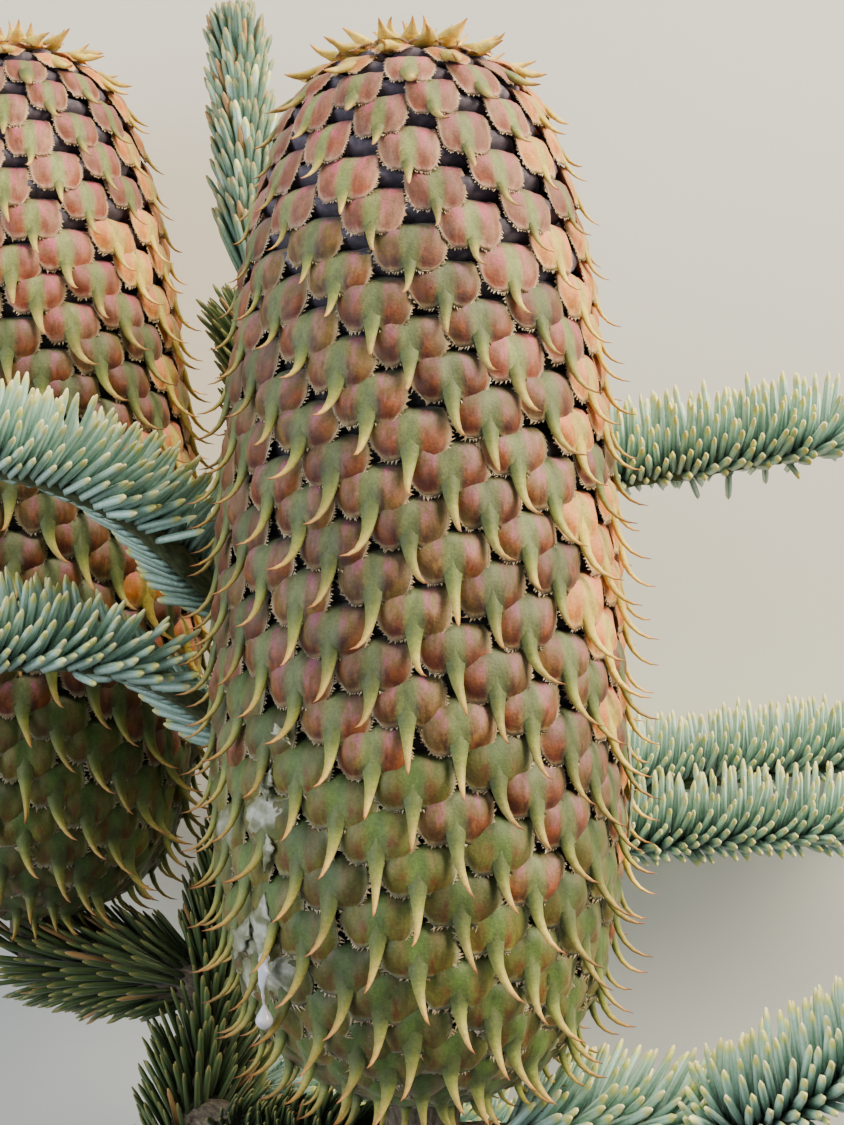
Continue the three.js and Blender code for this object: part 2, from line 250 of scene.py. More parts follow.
def new_material(name, given):
    """A material with one plain shader, whose sockets are given as those of a node."""
    material = bpy.data.materials.new(name)
    material.use_nodes = True
    tree = material.node_tree
    tree.nodes.clear()
    shader = add_node(tree, "ShaderNodeBsdfPrincipled", given)
    add_node(tree, "ShaderNodeOutputMaterial", {"Surface": shader})
    return material, tree, shader


def scale_of(size):
    """The scale that gives a pattern spots of this size in millimetres."""
    return 1 / (size * MM)


def spot_of(tree):
    """Where on its part a place is: the vector that the mesh carries, and its three numbers."""
    vector = add_node(tree, "ShaderNodeAttribute", attribute_name="spot").outputs["Vector"]
    return vector, add_node(tree, "ShaderNodeSeparateXYZ", {0: vector}).outputs


print("a leaf green in linear light:", [round(part, 3) for part in linear("8fae62")])


# %% [markdown]
# Most finishes here are one colour under another: a blush over felt, wax over a green blade. They could
# be painted as pictures, but layers of noise and of places on the part suit every bract and need no
# picture. Each layer has a strength and the bands, of some value, in which it shows. A living surface is
# also never even, so a colour is darkened and brightened by a few values, each within its own range.

# %% Layers of colour
RELIEF_STRENGTH = 0.5


def overlay(tree, colour, layers):
    """Lays colours over one another, each by its strength times its bands. A bare value is a band too."""
    for top, strength, bands in layers:
        share = strength
        for value, stops in bands:
            band = add_node(tree, "ShaderNodeValToRGB", {0: value}, stops) if stops else value
            share = add_node(tree, "ShaderNodeMath", {0: share, 1: band}, operation="MULTIPLY")
        colour = add_node(tree, "ShaderNodeMix", {0: share, 6: colour, 7: top}, data_type="RGBA")
    return colour


def shaded(tree, colour, ranges):
    """Makes a colour darker and brighter: each value's low and high give this dark and this bright."""
    strength = 1
    for value, low, high, dark, bright in ranges:
        part = add_node(tree, "ShaderNodeMapRange", {0: value, 1: low, 2: high, 3: dark, 4: bright})
        strength = add_node(tree, "ShaderNodeMath", {0: strength, 1: part}, operation="MULTIPLY")
    return add_node(tree, "ShaderNodeVectorMath", {0: colour, 3: strength}, operation="SCALE")


def mottled(name, given, size, detail, stops, relief=0):
    """A finish that wanders among a few shades in spots of this size, with relief in millimetres."""
    material, tree, shader = new_material(name, given)
    place = add_node(tree, "ShaderNodeTexCoord").outputs["Object"]
    noise = add_node(tree, "ShaderNodeTexNoise", {"Vector": place, "Scale": scale_of(size), "Detail": detail})
    colour = add_node(tree, "ShaderNodeValToRGB", {0: noise}, stops)
    tree.links.new(colour.outputs[0], shader.inputs["Base Color"])
    if relief:
        bumps = {"Height": noise, "Strength": RELIEF_STRENGTH, "Distance": relief * MM}
        tree.links.new(add_node(tree, "ShaderNodeBump", bumps).outputs[0], shader.inputs["Normal"])
    return material, tree, shader, colour


print("strength of a relief:", RELIEF_STRENGTH)


# %% [markdown]
# A cone is a body of revolution, so its outline is a curve of height against half width, through the same
# points as the solid's. It could be spun into a surface, but the bracts cover it. So it is only a guide:
# a place on the cone is a run up the outline, an angle round the axis and a stand out of it.

# %% The outline of a cone
CONE_LENGTH = 175
CONE_WIDTH = 69
BRACT_STEP = 1.5
CONE_OUTLINE = [
    (0, 0.24), (0.03, 0.58), (0.08, 0.81), (0.17, 0.95), (0.3, 1), (0.48, 0.98),
    (0.66, 0.91), (0.8, 0.8), (0.9, 0.645), (0.94, 0.515), (0.96, 0.39),
]
CROWN_OUTLINE = [(0.969, 0.22), (0.967, 0)]
CURVE_STEPS = 24


def smooth_line(path, power):
    """A line through points, as arrays of places and of lengths along it. Power spaces its knots."""
    path = np.array(path, float)
    held = np.concatenate([[2 * path[0] - path[1]], path, [2 * path[-1] - path[-2]]])
    knots = np.linalg.norm(np.diff(held, axis=0), axis=1) ** power
    share = np.linspace(0, 1, CURVE_STEPS)[:, None]
    places = []
    for i in range(len(path) - 1):
        before, start, end, after = held[i:i + 4]
        first, middle, last = knots[i:i + 3]
        leaving = (start - before) / first - (end - before) / (first + middle) + (end - start) / middle
        coming = (end - start) / middle - (after - start) / (middle + last) + (after - end) / last
        bend = 2 * start - 2 * end + (leaving + coming) * middle
        turn = 3 * end - 3 * start - (2 * leaving + coming) * middle
        places.append(start + leaving * middle * share + turn * share ** 2 + bend * share ** 3)
    places = np.concatenate([p[:-1] for p in places] + [places[-1][-1:]])
    lengths = np.r_[0, np.cumsum(np.linalg.norm(np.diff(places, axis=0), axis=1))]
    return places, lengths


HALF_WIDTH = CONE_WIDTH / 2 - BRACT_STEP
outline, outline_run = smooth_line(
    [(out * HALF_WIDTH, up * CONE_LENGTH) for up, out in CONE_OUTLINE + CROWN_OUTLINE], 0
)
body_run = outline_run[(CURVE_STEPS - 1) * (len(CONE_OUTLINE) - 1)]
print("outline", round(outline_run[-1], 1), "mm from neck to crown,", round(body_run, 1), "to the shoulder")


def on_cone(run, angle, out):
    """Places on the cone by their run, angle and stand."""
    radius, height = (np.interp(run, outline_run, outline[:, k]) for k in (0, 1))
    slope = [np.interp(run, outline_run, np.gradient(outline[:, k], outline_run)) for k in (0, 1)]
    radius = np.maximum(radius + slope[1] * out, 0)
    height = height - slope[0] * out
    return np.stack([radius * np.sin(angle), height, radius * np.cos(angle)], -1)


def narrowing(run):
    """How far the cone's side leans in, as an angle from its axis."""
    slope = [np.interp(run, outline_run, np.gradient(outline[:, k], outline_run)) for k in (0, 1)]
    return np.arctan2(-slope[0], slope[1])


# %% [markdown]
# Real bracts stand in a spiral: each one is turned 137.64 degrees on from the last, and that gives 13 rows
# that rise to the left, 21 to the right and 34 upright columns. A particle system could scatter them, but
# only the spiral gives those rows. In one column they follow each other every 12 to 13 mm. Under the crown
# they stand further apart, so that the dark scales show between them. The solids have fewer bracts than
# the cone, and here all of them are made. Every bract keeps a few numbers and some seeded unevenness,
# because no two bracts of a real cone are quite the same.

# %% Where the bracts stand
COLUMNS = 34
BRACT_TURN = math.radians(137.64)
BLADE_WIDTH = 11.8
BLADE_HEIGHT = 9.1
CROWN_GAP = 2
COLUMN_RISE = [(0, 11.6), (0.1, 12.2), (0.5, 12.9), (0.7, 14), (0.82, 16), (0.95, 16), (1, 14), (1.08, 12)]


def spiral_runs():
    """How far up the outline each bract stands."""
    ups, rises = np.array(COLUMN_RISE).T
    runs = [0.0]
    while runs[-1] < outline_run[-1] - CROWN_GAP:
        runs.append(runs[-1] + np.interp(runs[-1] / body_run, ups, rises) / COLUMNS)
    return np.array(runs)


BRACT_COUNT = len(spiral_runs())
print("bracts of a cone:", BRACT_COUNT)


def bract_places(seed):
    """How far up each bract stands, its angle, how wide and long its blade is, and how it is uneven."""
    draw = np.random.default_rng(seed)
    count = BRACT_COUNT
    run = spiral_runs()
    up = run / body_run
    low = 1 - ramp(up, 0.12, 0.32)
    high = ramp(up, 0.68, 0.92)
    crown = ramp(up, 0.92, 1.02)
    return {
        "run": run + draw.normal(0, 0.25, count),
        "up": up,
        "angle": np.arange(count) * BRACT_TURN + draw.normal(0, 0.012, count),
        "width": BLADE_WIDTH * (1 + draw.normal(0, 0.035, count)) * (1 - 0.38 * high) * (1 - 0.25 * crown),
        "height": BLADE_HEIGHT * (1 + draw.normal(0, 0.04, count)) * (1 - 0.08 * high) * (1 - 0.45 * crown),
        "bulge": 1 - 0.3 * high - 0.5 * low,
        "square": high * (1 - crown),
        "teeth": 1 + 1.1 * low,
        "lift": 1.5 * high + 1.4 * crown,
        "fuller": 1 + draw.normal(0, 0.16, (count, 2)),
        "phase": draw.uniform(0, 2 * math.pi, count),
        "tilt": draw.normal(0, 0.35, count),
        "swing": draw.normal(0.05, 0.11, count),
        "hook": draw.normal(0, 0.25, count) * (1 + 1.6 * high),
        "stretch": 1 + draw.normal(0, 0.07, count),
        "shade": draw.random(count),
        "draw": draw,
    }


# %% [markdown]
# A bract's blade is the part that folds out over the scale and hangs down like a bib. It has two pouches
# side by side with a rib between them, and a thin flat margin. One blade could be sculpted and copied, but
# near the crown they turn square and flat, and each is a little crumpled in its own way. So the shape is a
# formula of how far across and how far down a spot is. As a sheet over a grid it takes few faces, and a
# fan behind it closes it into a thin solid.

# %% Blade of a bract
BLADE_ROWS = 10
BLADE_COLUMNS = 17
BLADE_LIFT = 0.2
LOBE_BULGE = 1.12
RIB_HEIGHT = 0.8
RIB_SPREAD = 0.32
CRUMPLE = 0.2
TUCK = 2.4
BLADE_DEPTH = 2.2

blade_down = 1 - (1 - np.linspace(0, 1, BLADE_ROWS)) ** 1.25
blade_across = np.sin(np.linspace(-1, 1, BLADE_COLUMNS) * math.pi / 2) * 0.55
blade_across += np.linspace(-1, 1, BLADE_COLUMNS) * 0.45


def blade_shape(bracts, across, down):
    """Where spots of every blade are, as shares of its width and height, and their stand in millimetres."""
    side = np.abs(across)
    square = bracts["square"][:, None]
    # the outline: how wide the blade is at this height, and how long at this side
    wide = 0.84 + 0.16 * np.sin(np.clip(down / 0.5, 0, 1) * math.pi / 2) - 0.1 * ramp(down, 0.7, 1)
    wide = wide + square * (0.1 * (1 - down) + 0.06 * down)
    edge = 0.88 + 0.12 * np.sin(np.clip(side / 0.5, 0, 1) * math.pi / 2) - 0.2 * ramp(side, 0.55, 1) ** 1.6
    edge = edge + square * (0.1 * ramp(side, 0.5, 1) - 0.08 * ramp(side, 0.2, 0.5) + 0.06)
    # the relief: two pouches and a rib on a sheet that is tucked in at its top
    pouch = np.sin(np.clip((side - 0.08) / 0.84, 0, 1) ** 0.92 * math.pi) ** 0.95
    pouch = pouch * np.sin(np.clip(down / 0.94, 0, 1) ** 1.5 * math.pi) ** 0.85
    rib = RIB_HEIGHT * np.exp(-(across / RIB_SPREAD) ** 2) * ramp(down, 0.02, 0.55)
    plain = BLADE_LIFT - TUCK * (1 - ramp(down, 0, 0.2)) * (1 - 0.35 * square) + 0.5 * down + rib
    plain = plain + 1.2 * square * (1 - down)
    fuller = np.where(across > 0, bracts["fuller"][:, :1], bracts["fuller"][:, 1:]) * bracts["bulge"][:, None]
    # the crumple: long waves with shorter ones over them
    phase = bracts["phase"][:, None]
    crumple = CRUMPLE * np.sin(5.5 * across + phase) * np.sin(6 * down + 2.3 * phase)
    crumple = crumple + 0.4 * CRUMPLE * np.sin(12 * across + 2.7 * phase) * np.sin(9 * down + phase)
    crumple = crumple * bracts["teeth"][:, None]
    out = plain + LOBE_BULGE * pouch * fuller + crumple + bracts["lift"][:, None] * down
    return across / 2 * wide, down * edge, out


def blade_points(bracts, across, down, extra=0):
    """Corners of all blades at these spots: an array of bracts by spots."""
    wide, low, out = blade_shape(bracts, across, down)
    run = bracts["run"][:, None] + bracts["height"][:, None] * (1 - low)
    run = run + (bracts["tilt"] * 0.5)[:, None] * across
    radius = np.interp(run, outline_run, outline[:, 0])
    size = np.minimum(1, bracts["width"] / BLADE_WIDTH)[:, None]
    angle = bracts["angle"][:, None] + bracts["width"][:, None] * wide / np.maximum(radius, 5)
    return on_cone(run, angle, (out + extra) * (0.35 + 0.65 * size))


down_grid, across_grid = (g.ravel() for g in np.meshgrid(blade_down, blade_across, indexing="ij"))
blade_count = len(down_grid) + 1
blade_numbers = np.arange(len(down_grid)).reshape(BLADE_ROWS, BLADE_COLUMNS)
blade_rim = np.concatenate([
    blade_numbers[0, :-1], blade_numbers[:-1, -1], blade_numbers[-1, :0:-1], blade_numbers[:0:-1, 0],
])
blade_faces = [grid_faces(BLADE_ROWS, BLADE_COLUMNS)[:, ::-1], fan_faces(blade_rim, len(down_grid))]
print("faces of a blade:", len(blade_faces[0]), "quads and", len(blade_faces[1]), "triangles behind")


# %% [markdown]
# The rib rises out of the blade and runs on as a long spine that hangs over the bracts below. A bevelled
# curve could be the spine, but it would start with a round end on the blade. So the first five rings lie
# in the rib, nearly as wide as it is, and rise out of it slowly, and the rest swing free: a keeled thorn
# with a thin tip that turns away from the cone like the end of a hook. On the crown spines are short and
# stand up.

# %% Spine of a bract
SPINE_LENGTH = 10.4
SPINE_BEND = math.radians(80)
SPINE_SIDES = 6
RING_DOWN = [0.16, 0.36, 0.56, 0.76, 0.96]
RING_LIFT = np.array([-1.0, -0.92, -0.82, -0.68, -0.38])
RING_SHARE = [0, 0, 0, 0, 0, 0.14, 0.3, 0.48, 0.67, 0.85, 1]
SPINE_TIP = 0.2
RIB_SHARE = 0.3
RING_WIDTH = [1.8, 1.85, 1.85, 1.8, 1.6, 1.26, 0.94, 0.67, 0.45, 0.25, 0.06]
RING_THICK = [0.6, 0.7, 0.76, 0.8, 0.8, 0.76, 0.66, 0.52, 0.38, 0.23, 0.06]
SPINE_STAND = [(0, 8), (0.8, 6), (0.88, 12), (0.94, 28), (0.98, 50), (1.02, 56), (1.06, 70)]
SPINE_LENGTHS = [
    (0, 0.5), (0.1, 0.85), (0.2, 0.95), (0.6, 0.96), (0.72, 0.78), (0.8, 0.56), (0.92, 0.46), (1.03, 0.44),
]

keel = round_angles(SPINE_SIDES)
keel_out = np.where(np.cos(keel) > 0, np.cos(keel), 0.6 * np.cos(keel))
ring_numbers = np.arange(len(RING_SHARE))
ring_spots = np.interp(ring_numbers, [0, len(RING_DOWN) - 1, ring_numbers[-1]], [0, RIB_SHARE, 1])
spine_down = np.r_[np.repeat(ring_spots, SPINE_SIDES), 0, 1]
spine_faces = tube_faces(len(RING_SHARE), SPINE_SIDES)


def spine_points(bracts):
    """Corners of all spines: rings down the rib and along the thorn, then its root and its tip."""
    up = bracts["up"]
    crown = ramp(up, 0.88, 1)
    length = SPINE_LENGTH * np.interp(up, *np.array(SPINE_LENGTHS).T) * bracts["stretch"]
    stand = np.radians(np.interp(up, *np.array(SPINE_STAND).T))
    stand = stand + 0.8 * np.maximum(0, narrowing(bracts["run"]))
    bending = SPINE_BEND * (1 - 0.35 * ramp(up, 0.7, 0.86)) * (1 - 0.7 * crown)
    girth = (0.62 + 0.38 * ramp(up, 0, 0.1)) * (1 - 0.32 * ramp(up, 0.66, 0.82))
    girth = girth * (1 + 0.85 * crown)
    sunk = 0.5 * ramp(up, 0.66, 0.82)[:, None] * (1 - np.array(RING_DOWN))
    on_blade = blade_points(bracts, np.zeros(len(RING_DOWN)), np.array(RING_DOWN), extra=RING_LIFT - sunk)
    angle = bracts["angle"]
    zero = np.zeros_like(angle)
    outward = np.stack([np.sin(angle), zero, np.cos(angle)], -1)
    side = np.stack([np.cos(angle), zero, -np.sin(angle)], -1)
    facing = np.tanh(4 * np.sin(angle + bracts["turn"]))
    drape = bracts["swing"] + (0.1 + 0.1 * (1 - ramp(up, 0.1, 0.5))) * facing * (1 - crown)
    corners = []
    for ring, share in enumerate(RING_SHARE):
        if ring < len(RING_DOWN):
            place = on_blade[:, ring]
            last = len(RING_DOWN) - 1
            along = normalised(on_blade[:, min(ring + 1, last)] - on_blade[:, min(ring, last - 1)])
        else:
            middle = (share + RING_SHARE[ring - 1]) / 2
            bend = stand + bending * middle ** 1.5
            swing = drape * min(1, 2.5 * middle) + bracts["hook"] * middle ** 2
            along = UP_THE_BRANCH * (-np.cos(bend) * np.cos(swing))[:, None]
            along = normalised(along + outward * np.sin(bend)[:, None] + side * np.sin(swing)[:, None])
            place = place + along * (length * (share - RING_SHARE[ring - 1]))[:, None]
        across = normalised(np.cross(along, outward + 0.001 * side))
        face = np.cross(across, along)
        ring_out = (girth * RING_THICK[ring])[:, None, None] * keel_out[None, :, None] * face[:, None]
        ring_side = (girth * RING_WIDTH[ring])[:, None, None] * np.sin(keel)[None, :, None] * across[:, None]
        corners.append(place[:, None] + ring_out + ring_side)
    return np.concatenate([*corners, on_blade[:, :1], (place + along * SPINE_TIP)[:, None]], axis=1)


print("faces of a spine:", sum(len(part) for part in spine_faces))


# %% [markdown]
# Along its sides and its lower edge the blade frays into pale pointed teeth. A picture with holes could
# show them, but it would look flat from the side and cast no true shadow. So each tooth is a sliver of
# three faces, turned outwards from the edge and swayed a little.

# %% Fringe of a bract
TEETH = 52
TOOTH_LENGTH = 0.42
TOOTH_WIDTH = 0.5
TOOTH_ROOT = 0.25


def fringe_points(bracts):
    """Four corners for each tooth: left, right, behind and the tip."""
    draw = bracts["draw"]
    walk = np.linspace(-1, 1, TEETH)
    down = np.clip(0.3 + 1.6 * (1 - np.abs(walk)), 0, 1)
    across = np.sign(walk) * np.clip((np.abs(walk) - 0.04) / 0.54, 0.1, 1)
    count = len(bracts["run"])
    length = TOOTH_LENGTH * (0.4 + 1.2 * draw.random((count, TEETH)) ** 1.5)
    length = length * (bracts["width"] / BLADE_WIDTH * bracts["teeth"])[:, None]
    edge = blade_points(bracts, across, down, extra=-0.05)
    behind = blade_points(bracts, across, down, extra=-0.4)
    inner = blade_points(bracts, across * 0.8, down * 0.86, extra=-0.1)
    outward = normalised(edge - inner)
    following = np.roll(edge, -1, axis=1) - np.roll(edge, 1, axis=1)
    following[:, 0] = edge[:, 1] - edge[:, 0]
    following[:, -1] = edge[:, -1] - edge[:, -2]
    following = normalised(following)
    sway = draw.normal(0, 0.7, (count, TEETH))[:, :, None] * following
    left = edge - following * TOOTH_WIDTH / 2 - outward * TOOTH_ROOT
    right = edge + following * TOOTH_WIDTH / 2 - outward * TOOTH_ROOT
    tip = edge + (outward + sway) * length[:, :, None]
    return np.stack([left, right, behind - outward * TOOTH_ROOT, tip], 2).reshape(count, -1, 3)


tooth_faces = repeated([(0, 1, 3), (1, 2, 3), (2, 0, 3)], TEETH, 4)
print("faces of a fringe:", len(tooth_faces))


# %% [markdown]
# Between the bracts the rims of the scales show: plum grey and velvety under the crown where the bracts
# stand further apart, and deep in shade in the narrow gaps lower down, which is painted as nearly black.
# One dark core could fill the gaps, but the plum bands are plump and catch the light. So each rim is a low
# cushion, wider than a bract, that thins out and sinks towards its ends.

# %% Rim of a scale
RIM_ROWS = 6
RIM_COLUMNS = 11
RIM_WIDTH = 25
RIM_HEIGHT = 7.4
RIM_BULGE = 2.4
RIM_DEPTH = 2.8

rim_down, rim_across = (
    g.ravel() for g in np.meshgrid(
        np.linspace(0, 1, RIM_ROWS), np.linspace(-1, 1, RIM_COLUMNS), indexing="ij",
    )
)


def rim_points(bracts):
    """Corners of all rims. High up they are taller and sink deeper at their ends."""
    end = 1 - 0.72 * rim_across ** 2
    high = ramp(bracts["up"], 0.6, 0.8)[:, None]
    size = np.minimum(1, bracts["width"] / BLADE_WIDTH + 0.2)[:, None]
    run = bracts["run"][:, None] + (bracts["height"] - 1.4)[:, None]
    tall = RIM_HEIGHT * size * (1 - 0.26 * high)
    run = run + tall * ((0.5 - rim_down) * end + 0.45 + 0.16 * high - 0.1 * rim_across ** 2)
    angle = bracts["angle"][:, None] + RIM_WIDTH / 2 / HALF_WIDTH * rim_across
    swell = np.sin(rim_down * math.pi) ** 0.7 * (1 - (0.6 + 0.3 * high) * rim_across ** 2)
    sunk = 0.9 * high * rim_across ** 4
    return on_cone(run, angle, RIM_BULGE * (1 + 0.72 * high) * swell - RIM_DEPTH - sunk)


print("corners of a rim:", len(rim_down))


# %% [markdown]
# The skin of a bract is living tissue under a very fine felt, so it is plain, rough and hardly shiny,
# with a faint sheen where it turns away: the eye sees something soft and fleshy. Its colour needs four
# patterns. Clouds and patches shift the borders between the colours, streaks run down each bract, and the
# grain is the felt. Real felt is near 0.1 mm, too fine to show, so it is drawn four times as coarse.

# %% Patterns of a bract's skin
CLOUD_SIZE = 2.63
PATCH_SIZE = 9.09
FELT_SIZE = 0.417
FELT_RELIEF = 0.15
STREAK_WIDTH = 1.18
STREAK_LENGTH = 2.68
BRACT_SHIFT = 60


def skin_patterns(tree, spot):
    """Cloud, patch, streak and felt. The shift gives every bract another stretch of the streaks."""
    place = add_node(tree, "ShaderNodeTexCoord").outputs["Object"]
    cloud, patch, felt = (
        add_node(tree, "ShaderNodeTexNoise", {"Vector": place, "Scale": scale_of(size), "Detail": detail})
        for size, detail in ((CLOUD_SIZE, 3.0), (PATCH_SIZE, 2.0), (FELT_SIZE, 2.0))
    )
    streaks = (BLADE_WIDTH / 2 / STREAK_WIDTH, BLADE_HEIGHT / STREAK_LENGTH, BRACT_SHIFT)
    drawn_out = add_node(tree, "ShaderNodeMapping", {"Vector": spot, "Scale": streaks})
    streak = add_node(
        tree, "ShaderNodeTexNoise", {"Vector": drawn_out, "Scale": 1.0, "Detail": 4.0, "Roughness": 0.6},
    )
    return cloud, patch, streak, felt


print("scale of the felt:", round(scale_of(FELT_SIZE)), "and of the clouds:", round(scale_of(CLOUD_SIZE)))


# %% [markdown]
# A bract is dark where it comes out from under the next one: its own colour, painted darker as the shade
# of the bract above. Then it is grey green with a magenta blush on the shoulders of its pouches, ochre in
# the middle and rust at its foot, with a pale dry margin. Over that lie the green rib and the spine, which
# turns from green over yellow to an orange point. One gradient could give that, but then all bracts would
# be striped alike. So each colour is a layer with its own bands, down the blade and out from the rib, and
# the noise moves their borders.

# %% Skin of a bract
BORDER_WANDER = 0.42
PATCHES = [(0.47, 0), (0.62, 0.6)]
SHOULDER = [(0.05, 0), (0.2, 1), (0.48, 0.7), (0.7, 0)]
TOP_OF_POUCH = [(0.16, 0), (0.32, 1), (0.6, 0.7), (0.85, 0.1)]
BLOTCHES = [(0.41, 0.08), (0.6, 1)]
FOOT = [(0.46, 0), (0.66, 1), (0.92, 1)]
BESIDE_THE_RIB = [(0.1, 1), (0.32, 1), (0.5, 0.5), (0.8, 0.1)]
FLAMES = [(0.42, 1), (0.5, 0.6), (0.58, 0)]
SIDE_MARGIN = [(0.84, 0), (0.95, 1)]
LOW_MARGIN = [(0.9, 0), (0.97, 1)]
MARGIN_STRENGTH = 0.65
BLADE_ENDS = 1.05
SPINE_BEGINS = 1.1


def bract_material(name, plain, felt, blush, rust, rib, reach, spine, margin):
    """Blush and rust are a colour and a strength, reach how wide the rib is, felt, rib and spine stops."""
    material, tree, shader = new_material(
        name, {"Base Color": plain, "Roughness": 0.6, "Sheen Weight": 0.1, "Sheen Roughness": 0.4},
    )
    spot, (across, down, shade) = spot_of(tree)
    cloud, patch, streak, grain = skin_patterns(tree, spot)
    out = add_node(tree, "ShaderNodeMath", {0: across}, operation="ABSOLUTE")
    wander = {0: cloud, 1: BORDER_WANDER, 2: -BORDER_WANDER / 2}
    wander = add_node(tree, "ShaderNodeMath", wander, operation="MULTIPLY_ADD")
    lower = add_node(tree, "ShaderNodeMath", {0: down, 1: wander}, operation="ADD")
    margins = {
        0: add_node(tree, "ShaderNodeValToRGB", {0: out}, SIDE_MARGIN),
        1: add_node(tree, "ShaderNodeValToRGB", {0: down}, LOW_MARGIN),
    }
    dry_margin = add_node(tree, "ShaderNodeMath", margins, operation="MAXIMUM")
    rib_colour = add_node(tree, "ShaderNodeValToRGB", {0: down}, rib)
    on_rib = [(0.3 * reach, 1), (0.6 * reach, 0.7), (reach, 0)]
    on_spine = {0: down, "From Min": BLADE_ENDS, "From Max": BLADE_ENDS + 0.01}
    on_spine = add_node(tree, "ShaderNodeMapRange", on_spine)
    along_spine = add_node(tree, "ShaderNodeMath", {0: down, 1: SPINE_BEGINS}, operation="SUBTRACT")
    spine_colour = add_node(tree, "ShaderNodeValToRGB", {0: along_spine}, spine)
    colour = overlay(tree, add_node(tree, "ShaderNodeValToRGB", {0: lower}, felt), [
        (plain, 1, [(patch, PATCHES)]),
        (*blush, [(lower, SHOULDER), (out, TOP_OF_POUCH), (streak, BLOTCHES)]),
        (*rust, [(lower, FOOT), (out, BESIDE_THE_RIB), (streak, FLAMES)]),
        (margin, MARGIN_STRENGTH, [(dry_margin, ())]),
        (rib_colour, 1, [(out, on_rib)]),
        (spine_colour, 1, [(on_spine, ())]),
    ])
    final = shaded(tree, colour, [
        (grain, 0.3, 0.7, 0.8, 1.14), (shade, 0, 1, 0.52, 0.94), (streak, 0.3, 0.7, 0.7, 1.24),
    ])
    tree.links.new(final.outputs[0], shader.inputs["Base Color"])
    felted = {"Height": grain, "Strength": 0.4, "Distance": FELT_RELIEF * MM}
    tree.links.new(add_node(tree, "ShaderNodeBump", felted).outputs[0], shader.inputs["Normal"])
    return material


print("on a bract's own scale the blade ends at", BLADE_ENDS, "and the spine begins at", SPINE_BEGINS)


# %% [markdown]
# Low bracts are olive, the middle of the cone russet and the top rose. Those that face the low sun are
# amber, a brighter and warmer copy of the skin, which is painted sunlight. The sunny side also leans a
# little towards the higher skins, which is painted light too. The crown is amber as well, partly its own
# yellow orange and partly painted sunlight. One material could blend all that by height, but four plain
# recipes, dealt out bract by bract, are easier to match and let neighbours differ.

# %% The four bract skins
GREEN_SPINE = [
    (0, "5e6a3e"), (0.24, "62703c"), (0.36, "707e3e"), (0.5, "969c44"), (0.68, "c4b050"), (0.86, "d09a4c"),
    (1, "984424"),
]
CREAM_SPINE = [
    (0, "6c763e"), (0.24, "727e40"), (0.36, "868a40"), (0.52, "b4a44c"), (0.7, "dcc060"), (0.9, "d8984c"),
    (1, "ac5634"),
]
# The gold spine is partly the crown's own yellow and partly painted sunlight on the sunny side.
GOLD_AND_SUNLIT_SPINE = [(0, "c0aa48"), (0.35, "e2c64c"), (0.7, "fcdc6c"), (0.92, "f0ac4c"), (1, "b05c2a")]

# The olive, russet and rose felts start dark at the top of the blade: painted shade under the bract above.
bract_materials = [
    bract_material(
        "olive bract skin", "666a34",
        felt=[(0, "1c260e"), (0.12, "364a1a"), (0.35, "5e6e28"), (0.65, "6e7028"), (0.9, "786a20"),
              (1, "8e8a50")],
        blush=("8c5a4c", 0.45), rust=("84401a", 0.9),
        rib=[(0, "42552a"), (0.5, "5a7430"), (1, "6c7f44")], reach=0.36, spine=GREEN_SPINE, margin="a8a880",
    ),
    bract_material(
        "russet bract skin", "7c7030",
        felt=[(0, "1c220c"), (0.1, "4c5232"), (0.26, "7e6c48"), (0.46, "7e5e22"), (0.66, "904c14"),
              (0.88, "6c2a0e"), (1, "8a6038")],
        blush=("a4447c", 0.75), rust=("54180f", 0.95),
        rib=[(0, "646a4e"), (0.4, "6a7646"), (1, "66743e")], reach=0.36, spine=GREEN_SPINE, margin="b8a078",
    ),
    bract_material(
        "rose bract skin", "ac8468",
        felt=[(0, "5c3a40"), (0.08, "a85268"), (0.3, "9c6c50"), (0.6, "965f3e"), (0.84, "984a2a"),
              (1, "bc8c72")],
        blush=("bc3c6e", 1.0), rust=("8a2c20", 0.65),
        rib=[(0, "847c58"), (0.5, "84904e"), (1, "86924e")], reach=0.35, spine=CREAM_SPINE, margin="cca286",
    ),
    # Amber skin: partly the crown's own colour, and on the sunny side a brighter, warmer copy that is painted
    # sunlight.
    bract_material(
        "amber bract skin and painted sunlight", "dc9844",
        felt=[(0, "a05464"), (0.12, "dc7c60"), (0.4, "e89c40"), (0.75, "de7c1c"), (1, "f4bc74")],
        blush=("d45c78", 0.8), rust=("a8441e", 0.55),
        rib=[(0, "c89f60"), (0.5, "c8b052"), (1, "c4aa48")], reach=0.45, spine=GOLD_AND_SUNLIT_SPINE, margin="f2c898",
    ),
]
print("skins:", ", ".join(material.name for material in bract_materials))


# %% [markdown]
# The fringe is dead and dry, pale and matt like straw. The scale rims carry a short plum velvet. Real
# velvet is fine hair, and hair for each rim would be slow, so a sheen stands for it: the eye sees it glow
# where the surface turns away, as down does. Single hairs are too fine to show, so the down is drawn in
# tufts of about a millimetre. In the narrow gaps lower down the same rims are painted nearly black, as
# shade. Each rim is also painted darker towards both its edges, as shade, darkest at its upper edge, so
# that it is brightest along its ridge, which the spot on it tells.

# %% Materials of the fringe and the scales
FRINGE_SPOTS = 3.33
DOWN_SIZE = 1.11
DOWN_RELIEF = 0.2
fringe_material = mottled(
    "dry fringe", {"Base Color": "c9b698", "Roughness": 0.7, "Sheen Weight": 0.2}, FRINGE_SPOTS, 1.0,
    [(0.38, "9a8462"), (0.52, "bea884"), (0.64, "d2bea0")],
)[0]


